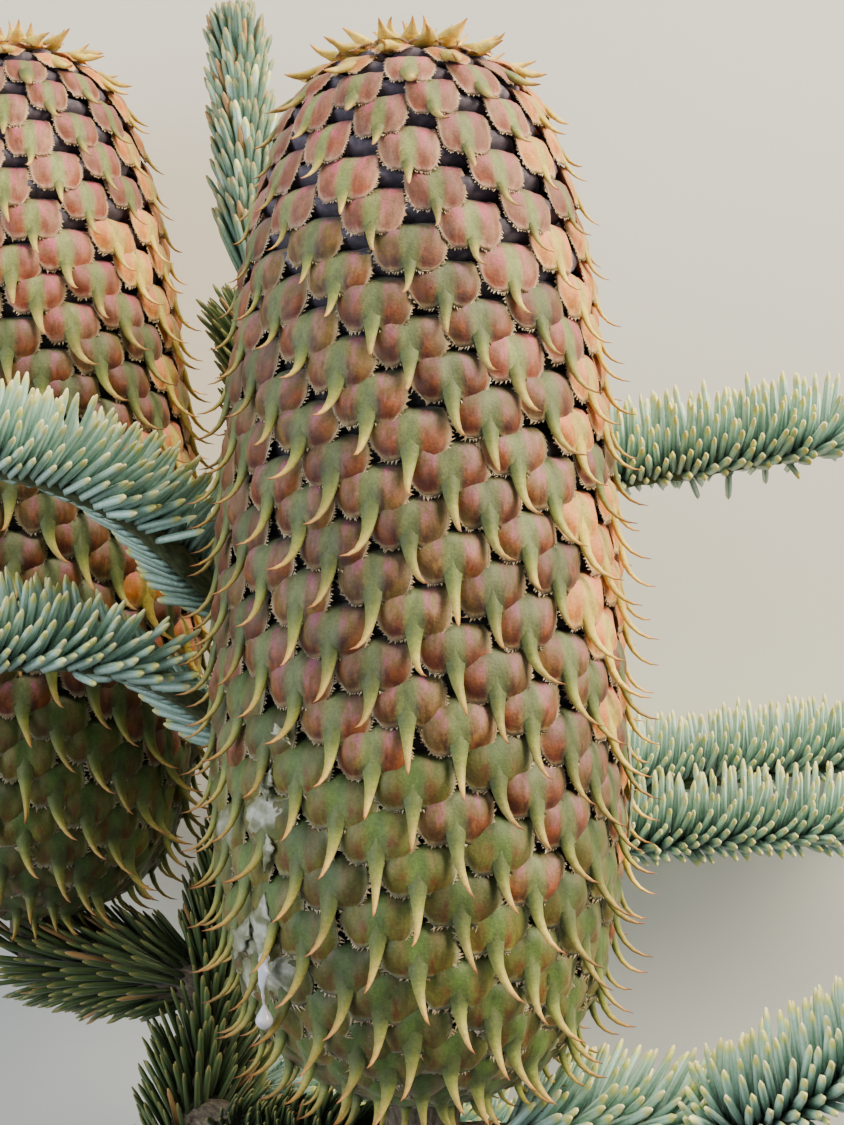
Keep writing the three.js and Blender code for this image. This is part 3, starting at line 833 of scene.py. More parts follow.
def velvet(name, plain, stops, sheen):
    """Short down over a scale's rim, with painted shade at both edges of the rim."""
    given = {"Base Color": plain, "Roughness": 0.8, "Sheen Weight": sheen, "Sheen Roughness": 0.35}
    given["Sheen Tint"] = "b9b0c4"
    material, tree, shader, colour = mottled(name, given, DOWN_SIZE, 4.0, stops, DOWN_RELIEF)
    down = spot_of(tree)[1][1]
    # Painted shade: the rim is darkened towards both edges, most at its upper edge.
    painted_edge_shade = [(0, 0.25), (0.3, 1), (0.46, 1), (0.66, 0.3), (1, 0.06)]
    painted_edge_shade = add_node(tree, "ShaderNodeValToRGB", {0: down}, painted_edge_shade)
    final = add_node(tree, "ShaderNodeVectorMath", {0: colour, 3: painted_edge_shade}, operation="SCALE")
    tree.links.new(final.outputs[0], shader.inputs["Base Color"])
    return material


scale_materials = [
    # The first is the plum velvet painted nearly black as the shade of the narrow gaps.
    velvet("scale in painted shade", "1f1c20", [(0.35, "1a181d"), (0.55, "28252b"), (0.75, "3c3742")], 0.1),
    velvet("plum velvet scale", "4a4452", [(0.25, "3e3846"), (0.5, "524a58"), (0.85, "6c6472")], 1.0),
]
print("scales:", ", ".join(material.name for material in scale_materials))

# %% [markdown]
# Both cones come from the same functions, and differ in their place, their lean, their turn on the stalk
# and their seed. One finished cone could be copied, but then both would show the same bracts. The left
# cone is a little riper, so its bracts are dealt a little further up the scale of colours.

# %% Place and colours of the two cones
CONES = {
    "main_cone": {"seat": (0, -87, 0), "lean": 0.4, "turn": 0, "scale": 1, "seed": 3, "ripe": 0},
    "left_cone": {
        "seat": (-79.5, -71.3, -68), "lean": 1.6, "turn": 74, "scale": 1.03, "seed": 8, "ripe": 0.04,
    },
}
RUSSET_FROM = 0.33
ROSE_FROM = 0.74
AMBER_AND_SUNLIT = 3
AMBER_FROM = 0.4
SUNNY_FROM = 0.72
CROWN_FROM = 0.955


def cone_place(cone):
    return (
        Matrix.Translation(cone["seat"])
        @ Matrix.Rotation(math.radians(cone["lean"]), 4, "Z")
        @ Matrix.Rotation(math.radians(cone["turn"]), 4, "Y")
        @ Matrix.Scale(cone["scale"], 4)
    )


def deal_bracts(bracts, ripe):
    """Which of the four bract materials each bract gets, by its height and by the sunny side, as painted
    sunlight.
    """
    sunny = np.sin(bracts["angle"] + bracts["turn"] - 0.2)
    # The sunny side moves a bract a little up the scale of skins: painted light.
    level = bracts["up"] + 0.08 * sunny + 0.14 * (bracts["shade"] - 0.5) + ripe
    # Amber on the sunny side is painted sunlight. On the crown it is partly the crown's own colour and partly
    # painted sunlight.
    amber = (level > AMBER_FROM) & (sunny + 0.5 * (bracts["shade"] - 0.5) > SUNNY_FROM)
    amber |= bracts["up"] > CROWN_FROM
    return np.where(amber, AMBER_AND_SUNLIT, np.digitize(level, [RUSSET_FROM, ROSE_FROM]))


print("feet of the cones:", {name: cone["seat"] for name, cone in CONES.items()})


# %% [markdown]
# Under the scale rims lies a plain core in the nearly black velvet, made darker still by its spot: painted
# shade, so that no gap looks through the cone. Bracts, spines, fringes and scales are four pieces, because
# each has its own materials, and all four take the place of the one solid cone.

# %% Build the two cones
CORE_RINGS = 60
CORE_SIDES = 72
CORE_DEPTH = 2.5
# The core's spot lies where the painted edge shade of the velvet is deepest.
CORE_SHADE_SPOT = 0.9
PLUM_FROM = 0.74


def scales_with_core(bracts):
    """Corners, faces, spots and materials of all scale rims and of the core under them."""
    rims = rim_points(bracts)
    first = rims.shape[0] * rims.shape[1]
    rim_faces = grid_faces(RIM_ROWS, RIM_COLUMNS)[:, ::-1]
    # Rims below the plum bands and the whole core get the velvet in painted shade.
    plum = bracts["up"] + 0.1 * bracts["shade"] > PLUM_FROM
    run, angle = np.meshgrid(
        np.linspace(0, outline_run[-1], CORE_RINGS), round_angles(CORE_SIDES), indexing="ij",
    )
    core = on_cone(run, angle, np.full_like(run, -CORE_DEPTH)).reshape(-1, 3)
    core_faces = first + grid_faces(CORE_RINGS, CORE_SIDES, closed=True)
    spots = np.zeros((first + len(core), 3))
    spots[:first, 1] = np.tile(1 - rim_down, BRACT_COUNT)
    spots[first:, 1] = CORE_SHADE_SPOT
    points = np.concatenate([rims.reshape(-1, 3), core])
    faces = [repeated(rim_faces, BRACT_COUNT, rims.shape[1]), core_faces]
    return points, faces, spots, [np.repeat(plum, len(rim_faces)), np.zeros(len(core_faces))]


def build_cone(name):
    cone = CONES[name]
    own = cone_place(cone)
    bracts = bract_places(cone["seed"])
    bracts["turn"] = math.radians(cone["turn"])
    dealt = deal_bracts(bracts, cone["ripe"])
    blades = blade_points(bracts, across_grid, down_grid)
    middle = blade_points(bracts, np.array([0.0]), np.array([0.55]), extra=-BLADE_DEPTH)
    spots = np.zeros((BRACT_COUNT, blade_count, 3))
    spots[:, :, 2] = bracts["shade"][:, None]
    spots[:, :-1, 0] = across_grid[None]
    spots[:, :-1, 1] = down_grid[None]
    spine_spots = np.zeros((BRACT_COUNT, len(spine_down), 3))
    spine_spots[:, :, 2] = bracts["shade"][:, None]
    spine_spots[:, :, 1] = SPINE_BEGINS + spine_down[None]
    points, faces, scale_spots, scale_dealt = scales_with_core(bracts)
    pieces = [
        add_parts(
            f"{name}_bracts", np.concatenate([blades, middle], axis=1), blade_faces, bract_materials,
            spots, dealt, own,
        ),
        add_parts(
            f"{name}_spines", spine_points(bracts), spine_faces, bract_materials, spine_spots, dealt, own,
        ),
        add_parts(
            f"{name}_fringe", fringe_points(bracts), [tooth_faces], [fringe_material], own=own, smooth=False,
        ),
        add_mesh(
            f"{name}_scales", laid_down(points, own), faces, scale_materials, scale_spots, scale_dealt,
        ),
    ]
    for piece in pieces:
        dress(piece, "ripening_bracts", name)
    return bracts


bracts_of = {cone_name: build_cone(cone_name) for cone_name in CONES}

# %% [markdown]
# Fir resin comes out clear and sticky and turns grey white as it dries. Fresh resin is glossy and lets
# light in, so the drop has a coat and a little light under its surface, and the eye sees a milky bead.
# Dried resin is a duller film with crumbly spots. It is thin at its borders, where the green of the
# bract shows through, so its colour fades into that green.

# %% Materials of resin
RESIN_SPOTS = 2.38
RESIN_RELIEF = 0.3
fresh_resin = new_material(
    "fresh milky resin", {
        "Base Color": "ceceda", "Roughness": 0.25, "Coat Weight": 0.5, "Coat Roughness": 0.15,
        "Subsurface Weight": 0.2, "Subsurface Radius": (0.004, 0.004, 0.004), "Subsurface Scale": 0.3,
    },
)[0]
dried_resin, resin_tree, resin_shader, resin_colour = mottled(
    "dried resin", {"Base Color": "7c8066", "Roughness": 0.28, "Coat Weight": 0.4, "Coat Roughness": 0.2},
    RESIN_SPOTS, 4.0, [(0.36, "626648"), (0.5, "84876f"), (0.66, "bcbeb4")], RESIN_RELIEF,
)
resin_milk = spot_of(resin_tree)[1][0]
resin_share = add_node(resin_tree, "ShaderNodeValToRGB", {0: resin_milk}, [(0.15, 0), (0.7, 0.85)])
resin_mixed = overlay(resin_tree, "666a34", [(resin_colour, 1, [(resin_share, ())])])
resin_tree.links.new(resin_mixed.outputs[2], resin_shader.inputs["Base Color"])
print("resin:", fresh_resin.name, "and", dried_resin.name)

# %% [markdown]
# The cone bleeds resin low on its left side. It has run down over the bracts, and there is a smaller
# patch on the right. Drops could be simulated as a fluid, but a run is only a low ridge that follows a
# line on the cone, wide and narrow by turns, and rides over whatever lies under it.

# %% Runs of resin
RESIN_SIDES = 12
RESIN_STEPS = 40
RESIN_HEIGHT = 0.22
RESIN_MILK = 0.7
RESIN_RUNS = [
    [(28.6, -44, 3.0, 2.0), (26, -44.5, 3.7, 1.2), (23.4, -45, 4.3, 0.4), (20.6, -45, 4.6, 0.2)],
    [(37, -45, 1.2, 0.5), (33, -47, 1.8, 2.2), (29, -46.5, 2.3, 1.9), (26.5, -47, 2.7, 0.6)],
    [(47, -43, 1.1, 0.4), (43.5, -42.5, 1.7, 1.3), (40, -44, 1.5, 0.4)],
    [(56, -41, 1.0, 0.4), (53.5, -43, 1.6, 1.7), (51, -42, 1.5, 0.4)],
    [(33, -52, 1.6, 0.7), (30, -56, 2.2, 2.4), (27, -60, 2.4, 1.8), (25, -63, 2.4, 0.4)],
    [(63, -38, 2.0, 0.5), (61.5, -36, 2.6, 1.1), (60, -33, 2.2, 0.5)],
    [(57, 78, 1.6, 0.7), (50, 80, 2.2, 1.5), (42, 79, 1.8, 0.8)],
]
resin_round = round_angles(RESIN_SIDES)


def resin_run(path, seed):
    """A run along (height, degrees, stand, half width) places on the main cone, in its own millimetres."""
    draw = np.random.default_rng(seed)
    marks = np.array(path, float)
    share = np.linspace(0, 1, RESIN_STEPS)
    height, turn, stand, half = (
        np.interp(share, np.linspace(0, 1, len(marks)), marks[:, k]) for k in range(4)
    )
    run = np.interp(height, outline[:, 1], outline_run)
    half = half * (1 + 0.3 * np.sin(9 * share + draw.uniform(0, 6)) * np.sin(17 * share + draw.uniform(0, 6)))
    half = half * np.sin(np.clip(share * 1.02 + 0.01, 0, 1) * math.pi) ** 0.5
    wobble = np.sin(resin_round[None] * 2 + 14 * share[:, None] + draw.uniform(0, 6))
    wobble = 1 + 0.2 * wobble * np.sin(31 * share[:, None] + resin_round[None] + draw.uniform(0, 6))
    radius = np.interp(run, outline_run, outline[:, 0])[:, None]
    angle = np.radians(turn)[:, None] + half[:, None] * np.cos(resin_round)[None] * wobble / radius
    out = stand[:, None] + (RESIN_HEIGHT + 0.08 * half)[:, None] * np.sin(resin_round)[None] * wobble
    ring = on_cone(np.repeat(run[:, None], RESIN_SIDES, 1), angle, out).reshape(-1, 3)
    ends = on_cone(run[[0, -1]], np.radians(turn[[0, -1]]), stand[[0, -1]])
    faces = [part[:, ::-1] for part in tube_faces(RESIN_STEPS, RESIN_SIDES)]
    return np.concatenate([ring, ends]), faces, np.full(len(ring) + 2, RESIN_MILK)


print("runs of resin:", len(RESIN_RUNS))


# %% [markdown]
# From the lowest run hangs one drop: a tube whose girth swells and closes again. Round the runs, a thin
# film wets some of the bracts. It is the same sheet as the blade, a hair's breadth above it, and its
# border dips into the blade, so it ends unevenly.

# %% Drop and film of resin
DROP_HEIGHT = 21
DROP_TURN = -45
DROP_STAND = 4.6
DROP_RADIUS = 1.3
DROP_LENGTH = 3.8
DROP_RINGS = 12
FILM_TURN = (-68, -38)
FILM_RUN = (18, 60)
FILM_SIDE = 9
FILM_SHARE = 0.75
FILM_LIFT = 0.5
FILM_DIP = 0.18


def resin_drop():
    down = np.linspace(0, 1, DROP_RINGS)
    girth = DROP_RADIUS * np.sin(down ** 1.6 * math.pi) ** 0.7 + 0.25 * (1 - down)
    run = np.interp([DROP_HEIGHT], outline[:, 1], outline_run)
    top = on_cone(run, np.radians([DROP_TURN]), np.array([DROP_STAND]))[0]
    rings = top[None, None] + np.stack(np.broadcast_arrays(
        girth[:, None] * np.cos(resin_round)[None], (-DROP_LENGTH * down)[:, None],
        girth[:, None] * np.sin(resin_round)[None],
    ), -1)
    points = np.concatenate([rings.reshape(-1, 3), [top + (0, 0.2, 0)], [top + (0, -DROP_LENGTH - 0.05, 0)]])
    return points, tube_faces(DROP_RINGS, RESIN_SIDES), np.ones(len(points))


def resin_film(seed):
    """A film over the wet bracts, with its milk: full in the middle of a blade and none at its border."""
    draw = np.random.default_rng(seed)
    bracts = bracts_of["main_cone"]
    turn = (np.degrees(bracts["angle"]) + 180) % 360 - 180
    wet = (turn > FILM_TURN[0]) & (turn < FILM_TURN[1])
    wet &= (bracts["run"] > FILM_RUN[0]) & (bracts["run"] < FILM_RUN[1])
    wet &= bracts["shade"] < FILM_SHARE
    few = {key: value[wet] for key, value in bracts.items() if isinstance(value, np.ndarray)}
    share = np.linspace(0, 1, FILM_SIDE)
    down, across = (g.ravel() for g in np.meshgrid(0.1 + 0.88 * share, 1.7 * share - 0.9, indexing="ij"))
    inner = np.sin(np.repeat(share, FILM_SIDE) * math.pi) * np.sin(np.tile(share, FILM_SIDE) * math.pi)
    uneven = draw.normal(0, 0.1, (wet.sum(), FILM_SIDE ** 2))
    points = blade_points(few, across, down, extra=FILM_LIFT * inner - FILM_DIP + uneven).reshape(-1, 3)
    faces = [repeated(grid_faces(FILM_SIDE, FILM_SIDE)[:, ::-1], wet.sum(), FILM_SIDE ** 2)]
    return points, faces, np.tile(inner, wet.sum())


print("the drop hangs", DROP_LENGTH, "mm down")


# %% [markdown]
# Drop, runs and film are joined into one piece, because all of it is one smear of resin. The drop and the
# run that it hangs from are fresh, the rest is dried.

# %% Join the resin
resin_points = []
resin_faces = []
resin_dealt = []
resin_milks = []
runs = [resin_run(path, 90 + i) for i, path in enumerate(RESIN_RUNS)]
for part, (points, faces, milk) in enumerate([resin_drop(), *runs, resin_film(89)]):
    first = sum(len(group) for group in resin_points)
    resin_points.append(points)
    resin_faces += [group + first for group in faces]
    resin_dealt += [np.full(len(group), part > 1) for group in faces]
    resin_milks.append(milk)
milky_spots = np.repeat(np.concatenate(resin_milks)[:, None], 3, axis=1)
resin = add_mesh(
    "resin", laid_down(np.concatenate(resin_points), cone_place(CONES["main_cone"])), resin_faces,
    [fresh_resin, dried_resin], milky_spots, resin_dealt,
)
dress(resin, "", "main_cone")

# %% [markdown]
# Wood next. Each limb and each twig follows a smooth line through a few places, the same as its solid's.
# A curve object could carry a bevel along that line, but needles have to know where the line runs and
# which way, so the line is a function of length. Side shoots leave the stem low and turn outwards, and the
# left ones come forward past the cones.

# %% Lines of the limbs and twigs
TWIG_RADII = (2.5, 1.7)

LIMBS = {
    "stem": {
        "path": [(-47, -140, -57), (-42, -92, -62), (-33, -55, -66), (-28, -20, -67), (-28, 20, -66),
                 (-33, 52, -61)],
        "radii": (6.2, 4),
    },
    "main_cone_bough": {
        "path": [(-45, -112, -59), (-30, -110, -36), (-12, -102, -10), (2, -98, -1), (12, -96.5, 1)],
        "radii": (4.6, 3.8),
    },
    "main_cone_stalk": {
        "path": [(0, -98, -1.5), (0, -92.5, -0.5), (0, -84.5, 0)],
        "radii": (4, 7.5),
    },
    "left_cone_bough": {
        "path": [(-41, -87, -62), (-54, -84, -63), (-68, -83, -66), (-78, -79.5, -68), (-79.5, -69.5, -68)],
        "radii": (4.6, 6),
    },
}
SHOOTS = {
    "leader_shoot": {
        "path": [(-33.2, 52.4, -61), (-35, 75, -60), (-37, 104, -60)], "lean": 21, "bare": 0,
    },
    "left_upper_shoot": {
        "path": [(-28, -14, -67), (-35, -9, -44), (-41, -2, -25), (-51, 8, -12), (-63, 14, -4),
                 (-84, 19, 0), (-105, 21, 2)],
        "lean": 62, "bare": 18, "towards": (0, 0, 0.3), "swept": 0.8, "blue": 0.3,
    },
    "left_lower_shoot": {
        "path": [(-30, -41, -66), (-35, -34, -46), (-41, -26, -28), (-50, -19.5, -17), (-63, -17, -13),
                 (-105, -20, -12)],
        "lean": 62, "bare": 18, "towards": (0, 0, 0.7), "swept": 0.84, "blue": 0.3,
    },
    "right_upper_shoot": {
        "path": [(-28, 8, -66), (-5, 13, -58), (42, 17, -48), (88, 24, -45)], "lean": 64, "bare": 8,
    },
    # The right middle and lower shoots get more of the brighter grey green needles as painted light, since
    # they lie furthest from the lamps.
    "right_middle_shoot": {
        "path": [(-31, -46, -66), (-8, -50, -84), (45, -50, -95.5), (92, -45, -95.5), (120, -44, -94.5)],
        "lean": 64, "bare": 8, "blue": 0.15,
    },
    "right_lower_shoot": {
        "path": [(-35, -68, -65), (-10, -67, -72), (45, -60, -76), (92, -57.5, -76), (122, -58, -75)],
        "lean": 64, "bare": 8, "blue": 0.15,
    },
    "low_back_shoot": {
        "path": [(-43, -104, -61), (-26, -116, -76), (2, -126, -88), (30, -133, -92)], "lean": 60, "bare": 10,
    },
    "front_shoot": {
        "path": [(12.3, -96.5, 1), (30, -94.5, 1.5), (45, -94, 5), (52, -90, 12), (66, -80.5, 18),
                 (84, -65, 22), (98, -50, 24)],
        "lean": 46, "bare": 0, "blue": 0.6,
    },
}
SLEEVES = {
    "stem_needles": {"limb": "stem", "from": 0.05, "to": 0.985},
    "main_bough_needles": {"limb": "main_cone_bough", "from": 0.15, "to": 0.72},
    "left_bough_needles": {"limb": "left_cone_bough", "from": 0.1, "to": 0.86},
}


def line_of(path):
    """A line as a function of length: places, and the way along it."""
    places, lengths = smooth_line(path, 0.5)
    ways = np.gradient(places, lengths, axis=0)

    def at(length):
        place = np.stack([np.interp(length, lengths, places[:, k]) for k in range(3)], -1)
        way = np.stack([np.interp(length, lengths, ways[:, k]) for k in range(3)], -1)
        return place, normalised(way)

    return at, lengths[-1]


def frames(at, length, turn_to):
    """Places on a line with the way along it, the way that angles count from, and the side."""
    place, along = at(length)
    first = normalised(turn_to - along * (along @ turn_to)[..., None])
    return place, along, first, np.cross(along, first)


lines = {name: line_of(limb["path"]) for name, limb in {**LIMBS, **SHOOTS}.items()}
print("lengths in mm:", {name: round(length) for name, (at, length) in lines.items()})

# %% [markdown]
# A needle that would run into a cone, or that is nearer to another twig than to its own, is left out, by
# the same rule as in the solids. Real needles would push each other aside. That could be simulated, but
# leaving some out looks the same among so many.

# %% Room for needles
CONE_ROOM = 4.6
CONE_FOOT = -0.01
SHOOT_ROOM = 4
TWIG_ROOM = 3.9
OLD_ROOM = 0.8
OLD_CONE_ROOM = 2.5
tube_samples = {name: at(np.linspace(0, length, 41))[0] for name, (at, length) in lines.items()}
tube_radii = {name: max(LIMBS[name]["radii"]) if name in LIMBS else TWIG_ROOM for name in lines}


def in_cone(places, room, foot):
    """Which places are within this room of a cone, from its foot upwards, a share of its length."""
    heights, widths = np.array(CONE_OUTLINE).T
    inside = np.zeros(len(places), bool)
    for cone in CONES.values():
        back = np.array(cone_place(cone).inverted())
        local = places @ back[:3, :3].T + back[:3, 3]
        up = local[:, 1] / CONE_LENGTH
        half = np.interp(np.clip(up, 0, 1), heights, widths) * CONE_WIDTH / 2
        near = np.hypot(local[:, 0], local[:, 2]) < half + room
        inside |= near & (up > foot) & (up < 1.05)
    return inside


def is_free(places, own, old):
    """Which places are clear of the cones and belong to their own limb or twig."""
    free = ~(in_cone(places, OLD_CONE_ROOM, 0) if old else in_cone(places, CONE_ROOM, CONE_FOOT))
    gaps = {
        name: np.linalg.norm(places[:, None] - samples[None], axis=2).min(1)
        for name, samples in tube_samples.items()
    }
    for name, gap in gaps.items():
        if name != own:
            least = tube_radii[name] + (OLD_ROOM if old else SHOOT_ROOM)
            free &= gap > (least if old else np.maximum(gaps[own], least))
    return free


print("room round a twig:", TWIG_ROOM + SHOOT_ROOM, "mm")


# %% [markdown]
# A fir's needle leaves the twig along it and soon bends up, like a hockey stick. It is a flat blade with
# a blunt tip. It could be one modelled needle with instances of it, but here each needle bends in its own
# way. Four sides and five rings are enough for its outline, since thousands of needles share the million
# triangles.

# %% One needle
NEEDLE_SIDES = 4
NEEDLE_LENGTH = 13.6
NEEDLE_HALF_WIDTH = 0.95
NEEDLE_HALF_THICK = 0.7
NEEDLE_TIP = 0.25
OLD_GIRTH = 0.72
needle_share = np.array([0, 0.18, 0.5, 0.9, 1])
needle_girth = np.array([0.6, 0.95, 1, 0.84, 0.36])
needle_round = round_angles(NEEDLE_SIDES)
needle_faces = tube_faces(len(needle_share), NEEDLE_SIDES)


def needle_points(start, leaving, pointing, across, length, girth):
    """Corners and spots of needles that leave one way and end up pointing another."""
    place = start
    corners = []
    for ring, share in enumerate(needle_share):
        turn = ramp(share, -0.15, 0.4)
        way = normalised(leaving * (1 - turn) + pointing * turn)
        if ring:
            place = place + way * (length * (share - needle_share[ring - 1]))[:, None]
        side = normalised(across - way * np.sum(across * way, 1)[:, None])
        face = np.cross(way, side)
        half = (girth * needle_girth[ring])[:, None, None]
        around = half * NEEDLE_HALF_WIDTH * np.cos(needle_round)[None, :, None] * side[:, None]
        around = around + half * NEEDLE_HALF_THICK * np.sin(needle_round)[None, :, None] * face[:, None]
        corners.append(place[:, None] + around)
    tip = place + way * NEEDLE_TIP
    points = np.concatenate([*corners, start[:, None], tip[:, None]], 1)
    spots = np.zeros(points.shape)
    spots[:, :, 0] = np.r_[np.tile(np.abs(np.cos(needle_round)), len(needle_share)), 0, 0][None]
    spots[:, :, 1] = np.r_[np.repeat(needle_share, NEEDLE_SIDES), 0, 1][None]
    return points, spots


print("faces of a needle:", sum(len(part) for part in needle_faces))


# %% [markdown]
# Needles stand in a spiral like leaves on any twig. On a side shoot they are brushed up, away from the
# ground, and the twig is nearly bare below. On the leader they stand all round and lie close. Towards a
# tip they close up over the bud. A hair system could comb them, but a rule for the angle is steadier:
# the sweep says where a needle that leaves at one angle round the twig ends up pointing.

# %% Needles of a shoot or a sleeve
NEEDLE_TURN = math.radians(137.5)
BARE_UNDERSIDE = math.radians(155)
THIN_UNDERSIDE = math.radians(140)
THIN_SHARE = 0.22
ROOT_DEPTH = 0.4
SWEEP_UP = [(0, 0), (30, 34), (60, 56), (90, 73), (120, 88), (140, 98), (165, 130), (180, 150)]


def grow_needles(own, span, plan, draw):
    """Needles on a stretch of a line: corners and spots."""
    at = lines[own][0]
    low, high = span
    count = int((high - low) / plan["spacing"])
    share = (np.arange(count) + 0.5) / count
    angle = np.arange(count) * NEEDLE_TURN + draw.normal(0, 0.05, count)
    angle = (angle + math.pi) % (2 * math.pi) - math.pi
    place, along, first, second = frames(at, low + (high - low) * share, plan["turn_to"])
    out = first * np.cos(angle)[:, None] + second * np.sin(angle)[:, None]
    start = place + out * (taper(plan["radii"], share) - ROOT_DEPTH)[:, None]
    aim = angle
    if not plan["all_round"]:
        swept = np.interp(np.degrees(np.abs(angle)), *np.array(SWEEP_UP).T)
        aim = np.sign(angle) * np.radians(swept) * plan["swept"]
    closing = ramp(share, plan["closes"], 1)
    lean = np.radians(plan["lean"] * (1 - 0.55 * closing) + draw.normal(0, 3, count))
    ahead = normalised(along + np.array(plan["towards"]))
    upwards = normalised(first - ahead * np.sum(first * ahead, 1)[:, None])
    sidewards = np.cross(ahead, upwards)
    pointing = ahead * np.cos(lean)[:, None]
    pointing = pointing + upwards * (np.sin(lean) * np.cos(aim))[:, None]
    pointing = pointing + sidewards * (np.sin(lean) * np.sin(aim))[:, None]
    leaving = normalised(along * math.cos(plan["leaves"]) + out * math.sin(plan["leaves"]))
    across = normalised(np.cross(along, first * np.cos(aim)[:, None] + second * np.sin(aim)[:, None]))
    across = normalised(across + along * draw.normal(0, 0.12, count)[:, None])
    length = plan["length"] * (1 - 0.3 * closing) * (1 + draw.normal(0, 0.06, count))
    length = length * (1 - 0.25 * ramp(np.abs(angle), 1.6, 2.6))
    keep = np.ones(count, bool)
    if not plan["all_round"]:
        keep &= np.abs(angle) < BARE_UNDERSIDE
        keep &= (np.abs(angle) < THIN_UNDERSIDE) | (draw.random(count) < THIN_SHARE)
    reach = normalised(leaving * 0.2 + pointing) * length[:, None]
    for part in (0.45, 0.75, 1.0):
        keep &= is_free(start + reach * part, own, plan["old"])
    girth = (OLD_GIRTH if plan["old"] else 1) + draw.normal(0, 0.06, count)
    points, spots = needle_points(*(a[keep] for a in (start, leaving, pointing, across, length, girth)))
    spots[:, :, 2] = draw.random(keep.sum())[:, None]
    return points, spots


print("a needle that leaves at 90 degrees points to", np.interp(90, *np.array(SWEEP_UP).T))


# %% [markdown]
# Needle wax makes fir foliage blue: the blade under it is green, pale lines of pores run along it, and
# the blunt tips are yellow. So wax is a layer over the green, missing at the root, the edges and the tip,
# with flecks where it has rubbed off. It is matt, and the eye sees a soft bloom instead of a shine. Old
# needles on the wood have lost most of it, and dry ones are brown.

# %% Materials of needles
WAX_FLECKS = 0.667
PORE_LINES = [(0, 0.15), (0.35, 1), (0.7, 0.7), (1, 0.1)]
WAXED_STRETCH = [(0, 0.4), (0.3, 1), (0.84, 0.9), (0.93, 0)]
RUBBED_OFF = [(0.3, 0.5), (0.65, 1)]


def needle_material(name, plain, blade, wax, wax_strength):
    """A flat blade's colours from root to tip, under a layer of wax."""
    material, tree, shader = new_material(
        name, {"Base Color": plain, "Roughness": 0.42, "Sheen Weight": 0.12, "Sheen Roughness": 0.5},
    )
    across, along, shade = spot_of(tree)[1]
    place = add_node(tree, "ShaderNodeTexCoord").outputs["Object"]
    fleck = {"Vector": place, "Scale": scale_of(WAX_FLECKS), "Detail": 2.0}
    fleck = add_node(tree, "ShaderNodeTexNoise", fleck)
    waxy = overlay(tree, add_node(tree, "ShaderNodeValToRGB", {0: along}, blade), [
        (wax, wax_strength, [(across, PORE_LINES), (along, WAXED_STRETCH), (fleck, RUBBED_OFF)]),
    ])
    final = shaded(tree, waxy, [(shade, 0, 1, 0.8, 1.15)])
    tree.links.new(final.outputs[0], shader.inputs["Base Color"])
    return material


needle_materials = [
    needle_material(
        "waxed needle, blue green", "8aa89a",
        [(0, "284636"), (0.35, "5c9080"), (0.82, "94c0ac"), (0.92, "ccd46c"), (1, "f2e694")], "d2ece6", 0.82,
    ),
    needle_material(
        "waxed needle, grey green", "96b2a4",
        [(0, "2c4e3c"), (0.35, "669a8a"), (0.82, "a2ccb8"), (0.92, "dce08c"), (1, "fcf4bc")], "dcf6f0", 0.88,
    ),
    needle_material(
        "leader needle, soft green", "86a078",
        [(0, "24422e"), (0.4, "3e6850"), (0.82, "5c8066"), (0.93, "8a966a"), (1, "a8905c")], "8cb0a8", 0.6,
    ),
    needle_material(
        "old needle, dark green", "34502f",
        [(0, "1c2a0c"), (0.4, "30451a"), (0.85, "4a6030"), (1, "868040")], "6a7c4c", 0.3,
    ),
    needle_material(
        "dry needle, brown", "8f6a3c",
        [(0, "5a4226"), (0.5, "8a6436"), (1, "b08850")], "b09a78", 0.2,
    ),
]
BLUE, GREY, SOFT, OLD, DRY = range(5)
print("needles:", ", ".join(material.name for material in needle_materials))


# %% [markdown]
# Bark of young wood is grey brown, dry and finely cracked along the limb, so it is quite rough and has a
# low relief: the eye sees a dull, furrowed skin. Noise alone would give round spots. Here its places are
# the spot on the bark in millimetres, squeezed so that a crack is longer than wide. A bud is sealed with
# resin, which gives it a coat and a faint shine.

# %% Materials of bark and buds
CRACK_WIDTH = 0.758
CRACK_LENGTH = 2.6
CRACK_DEPTH = 0.3
BUD_SPOTS = 1.11


def bark_material(name, plain, stops):
    """Finely cracked bark that is dark in its cracks."""
    material, tree, shader = new_material(name, {"Base Color": plain, "Roughness": 0.85})
    squeezed = {"Vector": spot_of(tree)[0], "Scale": (1 / CRACK_WIDTH, 1 / CRACK_LENGTH, 1 / CRACK_WIDTH)}
    squeezed = add_node(tree, "ShaderNodeMapping", squeezed, vector_type="POINT")
    cracks = {"Vector": squeezed, "Scale": 1.0, "Detail": 6.0, "Roughness": 0.65}
    cracks = add_node(tree, "ShaderNodeTexNoise", cracks)
    colour = add_node(tree, "ShaderNodeValToRGB", {0: cracks}, stops)
    tree.links.new(colour.outputs[0], shader.inputs["Base Color"])
    furrows = {"Height": cracks, "Strength": 0.6, "Distance": CRACK_DEPTH * MM}
    tree.links.new(add_node(tree, "ShaderNodeBump", furrows).outputs[0], shader.inputs["Normal"])
    return material


wood_bark = bark_material(
    "grey brown bark", "5f5548", [(0.3, "2e2822"), (0.48, "5a4f42"), (0.6, "74695a"), (0.75, "8f8878")],
)
twig_bark = bark_material(
    "young twig bark", "5c6044", [(0.3, "2e3420"), (0.5, "525a3c"), (0.7, "747a56")],
)
bud_material = mottled(
    "resinous bud", {"Base Color": "8a6438", "Roughness": 0.35, "Coat Weight": 0.4}, BUD_SPOTS, 3.0,
    [(0.35, "6a4626"), (0.55, "94703f"), (0.75, "b99a62")],
)[0]
print("bark:", wood_bark.name, "and", twig_bark.name)

# %% [markdown]
# The cut shows pale sapwood with growth rings, and sawn wood is rough, so nothing shines. Rings could be
# modelled as grooves, but a fresh cut is smooth and they are only colour: bands of a wave round the
# limb's own axis, a little distorted, because no year's ring is an even circle.

